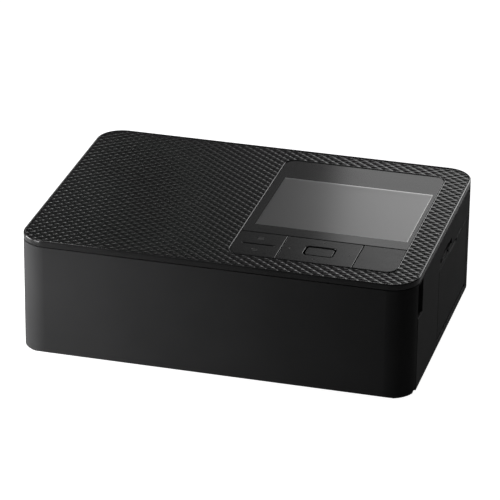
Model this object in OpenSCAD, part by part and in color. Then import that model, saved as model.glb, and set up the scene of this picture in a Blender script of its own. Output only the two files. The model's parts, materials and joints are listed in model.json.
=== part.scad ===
// Compact photo printer: a dye-transfer printer for postcard paper, with a flat
// textured top, a window with keys, a front door over the paper slot and a side
// door over the ink cassette. Millimetres. X is right, Y is back, Z is up.
// The origin is on the table, under the middle of the printer.

/* [Body] */
// Width over the side walls
body_w = 182.2; // [182:0.2:196]
// Depth from the front door to the rear panel
body_d = 133; // [132:0.5:145]
// Height from the table to the top cover
body_h = 57.6; // [57:0.2:62]
// Radius of the four upright corners
corner_r = 12.5; // [11:0.25:13]
// Thickness of the moulded walls
wall = 2; // [1.8:0.1:2.2]
// Width of the shadow gaps between casings
seam = 0.5; // [0.4:0.05:0.6]
// Height of the case above the table
foot_lift = 2; // [2:0.1:3]
// Height of the top cover's edge band
band_h = 2.65; // [2.4:0.05:3]

/* [Rubber feet] */
// Radius of a rubber foot
foot_r = 5; // [4:0.25:6]
// Distance from a foot's axis to the side of the case
foot_side = 24; // [20:0.5:30]
// Distance from a foot's axis to the front or the rear
foot_end = 20; // [18:0.5:24]

/* [Front door] */
// How far the door wraps round the corners
door_wrap = 10.5; // [10:0.25:11]
// Hinge axis behind the door's face
door_pin_in = 4.9; // [4.8:0.05:5]
// Hinge axis above the case's underside
door_pin_up = 4.5; // [4.4:0.05:4.6]
// Radius of the door's hinge pins
door_pin_r = 1.2; // [1:0.05:1.3]
// Distance from a hinge ear to the side of the case
ear_side = 10.5; // [10:0.1:11]
// Width of the pull recess behind the door's right edge
pull_w = 8.5; // [7:0.25:9]
// Height of the pull recess
pull_h = 17; // [13:0.5:18]
// Depth of the pull recess
pull_deep = 4.2; // [3.5:0.1:4.4]

/* [Control panel] */
// Width of the panel opening in the top cover
panel_w = 76.6; // [76:0.1:78]
// Depth of the panel opening in the top cover
panel_d = 108.1; // [106:0.1:110]
// Corner radius of the panel opening
panel_r = 5; // [4:0.25:6]
// Distance from the panel opening to the right side
panel_right = 11.5; // [11.4:0.1:13]
// Distance from the panel opening to the front
panel_front = 12.9; // [12.8:0.1:14]
// Thickness of the display window
window_t = 1.3; // [1:0.05:1.4]
// How far the panel sits below the top face
panel_sink = 0.3; // [0.2:0.05:0.4]
// Width of the picture area of the display
lcd_w = 71.1; // [68:0.1:71.4]
// Depth of the picture area of the display
lcd_d = 53.3; // [50:0.1:54]
// Thickness of the display module
lcd_t = 3; // [2.4:0.1:3.2]

/* [Keys] */
// Depth of the row of keys
key_row_d = 24.7; // [24:0.1:26]
// Width of the menu and back key
menu_w = 22; // [20:0.25:23]
// Width of the four-way key
nav_w = 34.9; // [33:0.1:36]
// Gap round each key
key_gap = 0.4; // [0.3:0.05:0.5]
// Thickness of the key plates
key_t = 1; // [0.9:0.05:1.05]
// Width of the centre key
ok_w = 12.4; // [11:0.1:13]
// Depth of the centre key
ok_d = 8; // [7.5:0.1:8.6]
// Gap round the centre key
ok_gap = 0.8; // [0.6:0.05:1]
// Travel of the centre key and of the power key
key_travel = 0.35; // [0.25:0.05:0.35]

/* [Paper path] */
// Width of the slot for the paper cassette
slot_w = 110; // [108:0.5:110.5]
// Height of the slot for the paper cassette
slot_h = 24; // [22:0.5:25]
// Distance from the middle of the paper to the right side
paper_in = 71.1; // [71:0.1:72]
// Width of the paper
paper_w = 100; // [96:0.5:101]
// Height of the paper path above the case floor
path_up = 13.5; // [13.4:0.1:13.9]
// Height of the slot in the rear panel
rear_slot_h = 6.4; // [6.2:0.1:8]

/* [Rollers] */
// Radius of the platen roller
platen_r = 6; // [5.5:0.1:6.1]
// Radius of the capstan roller
capstan_r = 4; // [3.7:0.1:4]
// Radius of the pinch roller
pinch_r = 3.4; // [3:0.1:3.5]
// Radius of the pickup roller
pickup_r = 7; // [6.5:0.25:7.25]
// Radius of the roller shafts
shaft_r = 2; // [1.8:0.05:2.1]
// Running clearance of a shaft in its hole
run = 0.05; // [0.03:0.01:0.08]
// Radius of a bearing bush's flange
bush_r = 3.6; // [3.3:0.1:3.8]

/* [Gears] */
// Gear module
gear_m = 0.8; // [0.78:0.01:0.82]
// Width of a gear
gear_w = 3; // [2.5:0.1:3.2]
// Teeth of the capstan gear
capstan_teeth = 21; // [20:1:21]
// Teeth of the pickup gear
pickup_teeth = 20; // [19:1:20]
// Teeth of the motor pinions and the small reduction gear
pinion_teeth = 12; // [12:1:13]
// Teeth of the large reduction gear
reduction_teeth = 30; // [28:1:31]
// Teeth of the take-up gear
takeup_teeth = 20; // [18:1:20]

/* [Ink cassette] */
// Radius of a cassette tube
tube_r = 10; // [9.8:0.1:10.2]
// Wall of the cassette
tube_wall = 1.2; // [1:0.05:1.4]
// Distance between the two spools
spool_pitch = 36; // [35.5:0.1:36.5]
// Radius of a spool core
core_r = 4; // [3.5:0.1:4.4]
// Radius of the ribbon left on the supply spool
supply_roll_r = 8.2; // [7:0.1:8.3]
// Radius of the ribbon on the take-up spool
takeup_roll_r = 5.4; // [5:0.1:8]

/* [Ink door] */
// Distance from the ink door's opening to the case's underside
ink_sill = 3; // [2.8:0.1:3.2]
// Height of the ink door's opening
ink_open_h = 36; // [35.5:0.1:36.2]
// Radius of the rounded lower edge of the ink door
ink_edge_r = 2.2; // [2.1:0.05:2.4]
// Radius of the ink door's hinge rod
ink_rod_r = 1; // [0.8:0.05:1.1]
// Gap round the ink door
ink_gap = 0.3; // [0.2:0.02:0.35]

/* [Print head] */
// How far the head is lifted off the ribbon at rest, in degrees
head_lift = 6.4; // [5:0.1:6.6]
// Depth of the head's heat sink
sink_d = 9; // [8:0.25:9.25]

/* [Ports] */
// Width of a memory card
card_w = 24; // [23:0.5:24.5]
// Width of the large data socket
large_port_w = 13.1; // [12.5:0.1:13.4]
// Height of the large data socket
large_port_h = 5.7; // [5.3:0.1:6]
// Width of the small data socket
small_port_w = 8.9; // [8:0.1:9.2]
// Height of the small data socket
small_port_h = 3.2; // [3:0.1:3.8]
// Radius of the power inlet's opening
inlet_r = 3; // [2.5:0.1:3.2]

/* [Cooling] */
// Side of the square fan
fan_size = 30; // [26:1:30]
// Thickness of the fan
fan_t = 8; // [6:0.5:8]
// Blades of the fan
fan_blades = 7; // [5:1:8]

/* [Hidden] */
$fn = 48;

// Planes of the casing
half_w = body_w/2;
half_d = body_d/2;
front_y = -half_d;
case_z = foot_lift;
floor_z = case_z + wall;
cover_z = body_h - band_h;
case_top = cover_z - seam;
door_back_y = front_y + door_wrap;
wall_front_y = door_back_y + seam;
frame_y = door_back_y + 1.5;
rear_seam_y = half_d - corner_r - seam;
inner_x = half_w - wall;
inner_rear_y = half_d - wall;
snug = 0.2;
far = 200;

// Front door hinge
hinge_y = front_y + door_pin_in;
hinge_z = case_z + door_pin_up;
ear_w = 3;
ear_r = door_pin_in - wall - 0.4;
lug_w = 2.4;
lug_gap = 0.4;
ear_x = half_w - ear_side;
heel_r = door_pin_in + 0.4;
toe_r = hinge_z - 0.5;

// Control panel, keys and display
panel_x = half_w - panel_right - panel_w/2;
panel_y = front_y + panel_front + panel_d/2;
panel_left_x = panel_x - panel_w/2;
panel_front_y = panel_y - panel_d/2;
panel_top = body_h - panel_sink;
ledge = 1.6;
tape = 0.3;
ledge_z = panel_top - window_t - tape;
cover_t = 1.7;
cover_under = body_h - cover_t;
window_y1 = panel_front_y + key_row_d;
window_y2 = panel_front_y + panel_d;
lcd_y = (window_y1 + window_y2)/2;
lcd_rim = 2;
lcd_top = cover_z - 0.05;
key_bottom = panel_top - key_t;
menu_x = panel_left_x + menu_w/2;
nav_x = panel_left_x + menu_w + nav_w/2;
power_w = panel_w - menu_w - nav_w;
power_x = panel_left_x + panel_w - power_w/2;
key_y = panel_front_y + key_row_d/2;
mat_top = cover_z - snug;
mat_t = 1;
dome_h = 0.3;
board_t = 1.2;
stem_bottom = mat_top + dome_h + key_travel + 0.1;
menu_stem = 6;
nav_stem_x = 14;
nav_stem_y = 8.6;

// Main board plane, which the chassis reaches up to
board_z = case_top - 5;
main_t = 1.6;

// Engine: the paper path, measured from the front and from the floor
paper_x = half_w - paper_in;
path_z = floor_z + path_up;
slot_z = floor_z + 1.5;
plate_t = 1.2;
plate_right_x = paper_x + slot_w/2 + 5;
plate_left_x = paper_x - slot_w/2 - 7;
plate_top = board_z - 1.5;
plate_front_y = front_y + 27.5;
capstan_y = front_y + 51.5;
capstan_z = path_z - capstan_r;
takeup_y = front_y + 67.5;
supply_y = takeup_y + spool_pitch;
platen_y = takeup_y + spool_pitch/2;
platen_z = path_z - platen_r;
spool_z = path_z + tube_r + 1.2;
tube_top = spool_z + tube_r;
pivot_y = supply_y + 19;
pivot_z = tube_top + 5.8;
pinch_z = path_z + 0.3 + pinch_r;
rear_stay_y = pivot_y + 4;

// Gear train on the left plate. Angles run from +Y towards +Z.
gear_x = plate_left_x - 1.4;
wheel_x = gear_x - gear_w - 1;
function pitch_r(n) = gear_m*n/2;
function gear_d(a, b) = pitch_r(a) + pitch_r(b);
function place(p, d, a) = [p[0] + d*cos(a), p[1] + d*sin(a)];
function mesh_phase(a_phase, a_teeth, b_teeth, angle) =
  angle + 180 + 180/b_teeth - (a_phase - angle)*a_teeth/b_teeth;
pickup_angle = 148.7;
reduction_angle = 84;
motor_angle = 160;
ribbon_angle = 0;
capstan_at = [capstan_y, capstan_z];
pickup_at = place(capstan_at, gear_d(capstan_teeth, pickup_teeth), pickup_angle);
reduction_at = place(capstan_at, gear_d(capstan_teeth, pinion_teeth), reduction_angle);
motor_at = place(reduction_at, gear_d(reduction_teeth, pinion_teeth), motor_angle);
takeup_at = [takeup_y, spool_z];
ribbon_motor_at = place(takeup_at, gear_d(takeup_teeth, pinion_teeth), ribbon_angle);
pickup_phase = mesh_phase(0, capstan_teeth, pickup_teeth, pickup_angle);
small_phase = mesh_phase(0, capstan_teeth, pinion_teeth, reduction_angle);
motor_phase = mesh_phase(small_phase, reduction_teeth, pinion_teeth, motor_angle);
ribbon_phase = mesh_phase(0, takeup_teeth, pinion_teeth, ribbon_angle);
motor_r = 12.5;
bracket_x = wheel_x - gear_w - 1.2;
motor_room = bracket_x - plate_t + inner_x - 2;
motor_l = min(17, motor_room - 2);
ribbon_motor_r = 10;
ribbon_motor_l = min(25, motor_room);
bracket_posts = [
  [plate_front_y + 3.5, floor_z + 6], [plate_front_y + 3.5, plate_top - 5],
  [takeup_y + 3, floor_z + 7], [ribbon_motor_at[0] + 11, plate_top - 6]
];
stub_r = 1.5;
pinch_pin_r = 1.5;
hub_r = 4;

// Ink cassette
tube_x1 = plate_left_x + 5;
tube_x2 = plate_right_x - 1;
cass_x1 = tube_x1 - 2;
cass_x2 = plate_right_x + 4.3;
cass_fit = 0.3;
journal_r = 2.5;
coupler_r = 3.6;
coupler_l = 1.5;
mouth_z = path_z + 1.3;
film_t = 0.3;

// Print head, as it stands when it prints
head_x1 = paper_x - paper_w/2 - 1;
head_x2 = paper_x + paper_w/2 + 1;
head_z = mouth_z + film_t + 0.25;
sink_top = tube_top - 3.4;
arm_z = tube_top + 3.2;

// Ink door and its catch
ink_y1 = takeup_y - tube_r - 3;
ink_y2 = supply_y + tube_r + 3;
ink_z1 = case_z + ink_sill;
ink_z2 = ink_z1 + ink_open_h;
ink_hinge_x = half_w - ink_edge_r;
ink_hinge_z = ink_z1 + ink_gap + ink_edge_r;
ink_ear_w = 2.5;
catch_y = supply_y - 2;
catch_w = 12;
catch_t = 1.8;
catch_x = cass_x2 + 0.5;
catch_travel = 3;
catch_low = tube_top - 1.7;

// Card reader
card_y = takeup_y + 1.2;
card_z = tube_top + 5.7;
socket_w = card_w + 4;
socket_t = 3.4;
card_slot_h = 2.8;
card_board_z = card_z + socket_t/2;

// Main board outline and rear ports
board_x1 = -half_w + 15.1;
board_x2 = panel_left_x - 5;
board_y1 = front_y + 26;
board_y2 = half_d - 5;
inlet_x = -half_w + 17.6;
small_port_x = inlet_x + 11.5;
large_port_x = small_port_x + 11.5;
port_y = half_d - 0.4;
// Chips on the main board: place from its corner, then size
chips = [
  [24, 22, 16, 16, 1.4], [46, 18, 12, 10, 1.1], [46, 36, 10, 10, 1.1],
  [10, 52, 10, 8, 1.8], [26, 52, 6, 14, 2], [62, 10, 5, 22, 2.2]
];

// Screw posts
post_r = 3;
screw_r = 1.25;
screw_head_r = 2.7;
screw_sink = 1.2;
post_front = [half_w - 9.1, front_y + 20.5];
post_rear = [half_w - 6.6, half_d - 9.5];
boss_top = floor_z + 8;

// Fan
fan_x = -half_w + 30.1;
fan_z = floor_z + 20.4;
fan_y = inner_rear_y - snug - fan_t;
fan_hole_r = fan_size/2 - 1.4;
fan_hub_r = 5.6;

// ---------------------------------------------------------------- helpers

// Rectangle with round corners, centred
module rounded(w, d, r) {
  square([w - 2*r, d], center=true);
  square([w, d - 2*r], center=true);
  for (x = [-1, 1], y = [-1, 1])
    translate([x*(w/2 - r), y*(d/2 - r)]) circle(r);
}

// Box given by its low and high corners
module block(lo, hi) {
  translate(lo) cube([hi[0] - lo[0], hi[1] - lo[1], hi[2] - lo[2]]);
}

// The same box on the right and on the left
module both_sides(lo, hi) {
  block(lo, hi);
  block([-hi[0], lo[1], lo[2]], [-lo[0], hi[1], hi[2]]);
}

// Extrudes a shape drawn in the YZ plane along X, from x1 to x2
module along_x(x1, x2) {
  translate([x1, 0, 0]) rotate([90, 0, 90]) linear_extrude(x2 - x1) children();
}

// Round bars along X, Y and Z
module bar_x(x1, x2, y, z, r) {
  translate([x1, y, z]) rotate([0, 90, 0]) cylinder(h=x2 - x1, r=r);
}
module bar_y(y1, y2, x, z, r) {
  translate([x, y1, z]) rotate([-90, 0, 0]) cylinder(h=y2 - y1, r=r);
}
module bar_z(z1, z2, x, y, r) {
  translate([x, y, z1]) cylinder(h=z2 - z1, r=r);
}

// The four screw posts
module at_posts() {
  for (s = [-1, 1], p = [post_front, post_rear])
    translate([s*p[0], p[1], 0]) children();
}

// The four feet
module at_feet() {
  for (x = [-1, 1], y = [-1, 1])
    translate([x*(half_w - foot_side), y*(half_d - foot_end), 0]) children();
}

// Half the angle of an involute tooth at radius r, in degrees
pressure = 20;
function inv(a) = tan(a)*180/PI - a;
function backlash(n) = 0.11/pitch_r(n)*180/PI;
function flank(n, r) =
  let (base = pitch_r(n)*cos(pressure), a = acos(min(1, base/max(r, base))))
  90/n - backlash(n) + inv(pressure) - inv(a);

// Gear outline with one tooth centred at the angle phase
module gear_outline(n, phase) {
  root = pitch_r(n) - 1.15*gear_m;
  tip = pitch_r(n) + 0.8*gear_m;
  steps = [root, pitch_r(n)*cos(pressure) + 0.02, pitch_r(n), tip];
  polygon([for (t = [0:n - 1], s = [0:7])
    let (side = s < 4 ? -1 : 1,
         r = steps[s < 4 ? s : 7 - s],
         a = phase + t*360/n + side*flank(n, r))
    [r*cos(a), r*sin(a)]]);
}

// Gear along X with a bore
module gear(n, phase, x1, x2, at, bore) {
  difference() {
    along_x(x1, x2) translate(at) gear_outline(n, phase);
    bar_x(x1 - 1, x2 + 1, at[0], at[1], bore);
  }
}

// ---------------------------------------------------------------- casings

// The pocket behind the front door's right edge
module pull_pocket(grow) {
  block([half_w - pull_deep - grow, wall_front_y - 1, case_top - pull_h - grow],
        [half_w + 1 - 2*grow, wall_front_y + pull_w + grow, case_top - 1 + grow]);
}

// Slot for the memory card, with a finger notch in its middle
module card_slot() {
  block([inner_x - 1, card_y - card_w/2 - 0.6, card_z - card_slot_h/2],
        [half_w + 1, card_y + card_w/2 + 0.6, card_z + card_slot_h/2]);
  block([half_w - 0.7, card_y - 5, card_z - card_slot_h/2 - 0.9],
        [half_w + 1, card_y + 5, card_z + card_slot_h/2 + 0.9]);
}

module hinge_ear(side) {
  x1 = side > 0 ? ear_x - ear_w : -ear_x;
  difference() {
    union() {
      block([x1, hinge_y, hinge_z - ear_r], [x1 + ear_w, frame_y + 4, hinge_z + ear_r]);
      block([x1, frame_y, floor_z - 0.1], [x1 + ear_w, frame_y + 4, hinge_z]);
      bar_x(x1, x1 + ear_w, hinge_y, hinge_z, ear_r);
    }
    bar_x(x1 - 1, x1 + ear_w + 1, hinge_y, hinge_z, door_pin_r + run);
  }
}

module bottom_case() {
  color([0.05, 0.05, 0.05]) difference() {
    union() {
      // floor, which steps in behind the rear seam
      block([-half_w, frame_y, case_z], [half_w, rear_seam_y, floor_z]);
      translate([0, 0, case_z]) linear_extrude(wall) intersection() {
        rounded(2*(inner_x - snug), 2*(inner_rear_y - snug), corner_r - wall - snug);
        translate([-half_w, rear_seam_y - 1]) square([body_w, half_d]);
      }
      both_sides([inner_x, wall_front_y, case_z], [half_w, rear_seam_y, case_top]);
      intersection() {
        pull_pocket(1.2);
        block([0, wall_front_y, 0], [inner_x + 0.1, half_d, case_top]);
      }
      for (s = [-1, 1]) hinge_ear(s);
      at_posts() bar_z(floor_z - 0.1, boss_top, 0, 0, post_r);
      // ears for the ink door's rod
      for (y = [ink_y1 - ink_ear_w, ink_y2])
        block([inner_x - 3.2, y, floor_z - 0.1],
              [inner_x + 0.1, y + ink_ear_w, ink_hinge_z + 3]);
      // posts for the main board
      for (y = [board_y1 + 4, board_y2 - 16])
        bar_z(floor_z - 0.1, board_z, board_x1 + 2.7, y, 2.5);
    }
    pull_pocket(0);
    card_slot();
    block([inner_x - 1, ink_y1, ink_z1], [half_w + 1, ink_y2, ink_z2]);
    bar_y(ink_y1 - ink_ear_w + 0.6, ink_y2 + ink_ear_w - 0.6,
          ink_hinge_x, ink_hinge_z, ink_rod_r + 0.02);
    at_posts() {
      bar_z(0, boss_top + 1, 0, 0, screw_r + 0.1);
      bar_z(0, case_z + screw_sink, 0, 0, screw_head_r + snug);
    }
    at_feet() bar_z(0, case_z + 1, 0, 0, foot_r + 0.02);
    // air inlets under the gears
    for (i = [0:7])
      block([plate_left_x - 34 + i*4, takeup_y - 7, 0],
            [plate_left_x - 32 + i*4, takeup_y + 21, floor_z + 1]);
  }
}

module rear_panel() {
  color([0.05, 0.05, 0.05]) difference() {
    translate([0, 0, case_z]) linear_extrude(case_top - case_z) intersection() {
      difference() {
        rounded(body_w, body_d, corner_r);
        rounded(2*inner_x, 2*inner_rear_y, corner_r - wall);
      }
      translate([-half_w, rear_seam_y + 0.3]) square([body_w, half_d]);
    }
    // slot that the paper moves out of between passes
    block([paper_x - paper_w/2 - 5, inner_rear_y - 1, path_z - 2.2],
          [paper_x + paper_w/2 + 5, half_d + 1, path_z - 2.2 + rear_slot_h]);
    block([large_port_x - large_port_w/2 - snug, inner_rear_y - 1, board_z - large_port_h - snug],
          [large_port_x + large_port_w/2 + snug, half_d + 1, board_z + snug]);
    block([small_port_x - small_port_w/2 - snug, inner_rear_y - 1, board_z - small_port_h - snug],
          [small_port_x + small_port_w/2 + snug, half_d + 1, board_z + snug]);
    bar_y(inner_rear_y - 1, half_d + 1, inlet_x, board_z - 5, inlet_r + 1.2 + snug);
    // air outlets behind the fan
    for (i = [-5:5]) let (x = i*2.4, h = sqrt(max(4, pow(fan_hole_r, 2) - x*x)))
      block([fan_x + x - 0.7, inner_rear_y - 1, fan_z - h],
            [fan_x + x + 0.7, half_d + 1, fan_z + h]);
    // security lock slot
    block([half_w - corner_r - 12, inner_rear_y - 1, floor_z + 8],
          [half_w - corner_r - 5, half_d + 1, floor_z + 11]);
  }
}

module front_frame() {
  x1 = paper_x - slot_w/2;
  x2 = paper_x + slot_w/2;
  z2 = slot_z + slot_h;
  color([0.08, 0.08, 0.08]) difference() {
    union() {
      block([-inner_x + snug, frame_y, floor_z], [inner_x - snug, frame_y + wall, case_top - snug]);
      // sleeve that guides the paper cassette, with a shelf over it
      block([x1 - 1.5, frame_y, floor_z], [x2 + 1.5, plate_front_y - 1, z2 + 1.5]);
      block([x1 - 1.5, frame_y + 1, z2 + 1.4], [x2 + 1.5, frame_y + 8, z2 + 3]);
    }
    block([x1, frame_y - 1, slot_z], [x2, plate_front_y, z2]);
    block([x1 + 1, frame_y + wall, floor_z - 1], [x2 - 1, plate_front_y, slot_z + 1]);
    both_sides([ear_x - ear_w - 0.4, frame_y - 1, 0],
               [ear_x + 0.4, frame_y + 5, hinge_z + ear_r + 0.4]);
    pull_pocket(1.5);
  }
}

module top_cover() {
  color([0.04, 0.04, 0.04]) difference() {
    union() {
      difference() {
        translate([0, 0, cover_z]) linear_extrude(band_h) rounded(body_w, body_d, corner_r);
        translate([0, 0, cover_z - 1]) linear_extrude(cover_under - cover_z + 1)
          difference() {
            rounded(2*inner_x - 1, 2*inner_rear_y - 1, corner_r - wall - 0.5);
            translate([panel_x, panel_y]) rounded(panel_w + 3, panel_d + 3, panel_r + 1.5);
          }
      }
      at_posts() bar_z(boss_top + 0.05, cover_under + 0.1, 0, 0, post_r);
      // posts that carry the card reader
      for (y = [-1, 1])
        bar_z(card_board_z + board_t + 0.05, cover_under + 0.1,
              half_w - 5.2, card_y + y*(socket_w/2 - 2), 1.8);
    }
    // panel opening, with the ledge below it
    translate([panel_x, panel_y, ledge_z]) linear_extrude(band_h) rounded(panel_w, panel_d, panel_r);
    translate([panel_x, panel_y, cover_z - 1]) linear_extrude(band_h)
      rounded(panel_w - 2*ledge, panel_d - 2*ledge, panel_r - ledge);
    at_posts() bar_z(0, boss_top + 12, 0, 0, screw_r + 0.03);
  }
}

// ---------------------------------------------------------------- doors

module door_lug(x1) {
  block([x1, front_y + wall - 0.1, case_z + 0.5], [x1 + lug_w, hinge_y, hinge_z + ear_r]);
  block([x1, hinge_y - 1, case_z + 0.5], [x1 + lug_w, hinge_y + ear_r, hinge_z]);
  bar_x(x1, x1 + lug_w, hinge_y, hinge_z, ear_r);
}

module front_door() {
  flange_t = door_pin_up - ear_r - 0.4;
  lug_xs = [ear_x + lug_gap, -ear_x - lug_gap - lug_w];
  color([0.04, 0.04, 0.04]) difference() {
    union() {
      // curved face
      translate([0, 0, case_z]) linear_extrude(case_top - case_z) intersection() {
        difference() {
          rounded(body_w, body_d, corner_r);
          rounded(2*inner_x, 2*inner_rear_y, corner_r - wall);
        }
        translate([-half_w, front_y]) square([body_w, door_wrap]);
      }
      // flanges along the lower and the upper edge
      for (f = [[case_z, flange_t], [case_top - 1.5, 1.5]])
        translate([0, 0, f[0]]) linear_extrude(f[1]) intersection() {
          rounded(body_w - 1, body_d - 1, corner_r - 0.5);
          translate([-half_w, front_y]) square([body_w, door_wrap - 0.8]);
        }
      for (x = lug_xs) door_lug(x);
    }
    // notches that let the hinge ears through the lower flange
    both_sides([ear_x - ear_w - 0.6, front_y + wall, 0],
               [ear_x + 0.3, 0, case_z + flange_t + 0.1]);
    // lower rear corners and lower front edge are cut back to turn clear
    for (s = [-1, 1]) translate([s*half_w, hinge_y, hinge_z]) rotate([-45, 0, 0])
      translate([-corner_r*1.2, heel_r, -10]) cube([corner_r*2.4, 10, 20]);
    translate([0, hinge_y, hinge_z]) rotate([-135, 0, 0])
      translate([-far, toe_r, -10]) cube([2*far, 10, 20]);
    for (x = lug_xs) bar_x(x - 1, x + lug_w + 1, hinge_y, hinge_z, door_pin_r + 0.02);
  }
}

module front_door_pins() {
  pin_l = ear_w + lug_gap + lug_w;
  color("silver") for (x1 = [ear_x - ear_w, -ear_x - lug_gap - lug_w])
    bar_x(x1, x1 + pin_l, hinge_y, hinge_z, door_pin_r);
}

module ink_door() {
  y1 = ink_y1 + ink_gap;
  y2 = ink_y2 - ink_gap;
  mid = (y1 + y2)/2;
  color([0.05, 0.05, 0.05]) difference() {
    union() {
      block([inner_x, y1, ink_hinge_z], [half_w, y2, ink_z2 - ink_gap]);
      bar_y(y1, y2, ink_hinge_x, ink_hinge_z, ink_edge_r);
      // stiffening ribs and the snap at the upper edge
      for (y = [y1 + 4, y2 - 5.5])
        block([inner_x - 1.2, y, ink_hinge_z], [inner_x + 0.1, y + 1.5, ink_z2 - 6]);
      block([inner_x - 1, mid - 4, ink_z2 - 4], [inner_x + 0.1, mid + 4, ink_z2 - 2.6]);
    }
    bar_y(y1 - 1, y2 + 1, ink_hinge_x, ink_hinge_z, ink_rod_r + run);
    // finger scoop at the upper edge
    translate([half_w + 3.2, mid, ink_z2 + 2]) rotate([90, 0, 0]) cylinder(h=14, r=5, center=true);
  }
}

module ink_door_rod() {
  color("silver") bar_y(ink_y1 - ink_ear_w + 0.7, ink_y2 + ink_ear_w - 0.7,
                        ink_hinge_x, ink_hinge_z, ink_rod_r);
}

module rubber_feet() {
  color([0.1, 0.1, 0.1]) at_feet() bar_z(0, case_z + 0.98, 0, 0, foot_r);
}

module case_screws() {
  color("silver") at_posts() difference() {
    union() {
      bar_z(case_z + snug, case_z + screw_sink - 0.02, 0, 0, screw_head_r);
      bar_z(case_z + screw_sink - 0.1, boss_top + 10, 0, 0, screw_r);
    }
    for (a = [0, 90]) rotate([0, 0, a])
      block([-1.7, -0.35, 0], [1.7, 0.35, case_z + 0.8]);
  }
}

// ---------------------------------------------------------------- control panel

module display_window() {
  color([0.1, 0.1, 0.1, 0.6]) translate([0, 0, panel_top - window_t]) linear_extrude(window_t)
    intersection() {
      translate([panel_x, panel_y])
        rounded(panel_w - key_gap, panel_d - key_gap, panel_r - key_gap/2);
      translate([0, window_y1 + key_gap/2]) square([half_w, body_d]);
    }
}

module lcd_frame() {
  w = lcd_w/2 + lcd_rim;
  d = lcd_d/2 + lcd_rim + 2;
  color("silver") difference() {
    block([panel_x - w, lcd_y - d, lcd_top - lcd_t], [panel_x + w, lcd_y + d, lcd_top]);
    block([panel_x - lcd_w/2 - 0.6, lcd_y - lcd_d/2 - 0.6, lcd_top - lcd_t + 0.5],
          [panel_x + lcd_w/2 + 0.6, lcd_y + lcd_d/2 + 0.6, lcd_top + 1]);
  }
}

module lcd_glass() {
  color([0.3, 0.3, 0.3]) block(
    [panel_x - lcd_w/2 - 0.4, lcd_y - lcd_d/2 - 0.4, lcd_top - lcd_t + 0.55],
    [panel_x + lcd_w/2 + 0.4, lcd_y + lcd_d/2 + 0.4, lcd_top - 0.5]);
}

// One key plate: the part of the panel's outline between x1 and x2
module key_plate(x1, x2) {
  translate([0, 0, key_bottom]) linear_extrude(key_t) intersection() {
    translate([panel_x, panel_y])
      rounded(panel_w - key_gap, panel_d - key_gap, panel_r - key_gap/2);
    translate([x1, panel_front_y]) square([x2 - x1, key_row_d - key_gap/2]);
  }
}

module key_stem(x, y) {
  bar_z(stem_bottom, key_bottom + 0.1, x, y, 1.2);
}

module menu_back_key() {
  color([0.06, 0.06, 0.06]) difference() {
    union() {
      key_plate(panel_left_x, panel_left_x + menu_w - key_gap/2);
      for (s = [-1, 1]) key_stem(menu_x, key_y + s*menu_stem);
    }
    // groove between the two halves
    block([menu_x - 7.2, key_y - 0.35, panel_top - 0.5], [menu_x + 7.6, key_y + 0.35, panel_top + 1]);
  }
}

// The ring that lets the four-way key rock from side to side
module nav_gimbal() {
  color([0.15, 0.15, 0.15]) difference() {
    block([nav_x - ok_w/2 - 3.4, key_y - ok_d/2 - 2.6, mat_top + 0.4],
          [nav_x + ok_w/2 + 3.4, key_y + ok_d/2 + 2.6, mat_top + 0.9]);
    block([nav_x - ok_w/2 - 1.2, key_y - ok_d/2 - 0.9, 0],
          [nav_x + ok_w/2 + 1.2, key_y + ok_d/2 + 0.9, far]);
  }
}

module nav_key() {
  color([0.06, 0.06, 0.06]) difference() {
    union() {
      key_plate(nav_x - nav_w/2 + key_gap/2, nav_x + nav_w/2 - key_gap/2);
      for (s = [-1, 1]) {
        key_stem(nav_x + s*nav_stem_x, key_y);
        key_stem(nav_x, key_y + s*nav_stem_y);
      }
    }
    // well of the centre key
    translate([nav_x, key_y, 0]) linear_extrude(far)
      rounded(ok_w + 2*ok_gap, ok_d + 2*ok_gap, 2);
  }
}

module ok_key() {
  color([0.08, 0.08, 0.08]) {
    translate([nav_x, key_y, key_bottom - 0.25]) linear_extrude(key_t) rounded(ok_w, ok_d, 1.4);
    key_stem(nav_x, key_y);
  }
}

module power_key() {
  color([0.06, 0.06, 0.06]) {
    key_plate(power_x - power_w/2 + key_gap/2, panel_left_x + panel_w);
    key_stem(power_x, key_y);
  }
}

// Where the key stems press
function stems() = [
  [menu_x, key_y - menu_stem], [menu_x, key_y + menu_stem],
  [nav_x - nav_stem_x, key_y], [nav_x + nav_stem_x, key_y],
  [nav_x, key_y - nav_stem_y], [nav_x, key_y + nav_stem_y],
  [nav_x, key_y], [power_x, key_y]
];

module keypad_mat() {
  color([0.2, 0.2, 0.2]) {
    block([panel_left_x + 1, panel_front_y + 1.6, mat_top - mat_t],
          [panel_left_x + panel_w - 1, window_y1 - 1, mat_top]);
    for (p = stems()) bar_z(mat_top - 0.1, mat_top + dome_h, p[0], p[1], 1.6);
  }
}

module keypad_board() {
  color([0.05, 0.25, 0.12]) block(
    [panel_left_x + 1, panel_front_y + 1.6, mat_top - mat_t - board_t - 0.05],
    [panel_left_x + panel_w - 1, window_y1 - 1, mat_top - mat_t - 0.05]);
}

// ---------------------------------------------------------------- engine frame

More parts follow.
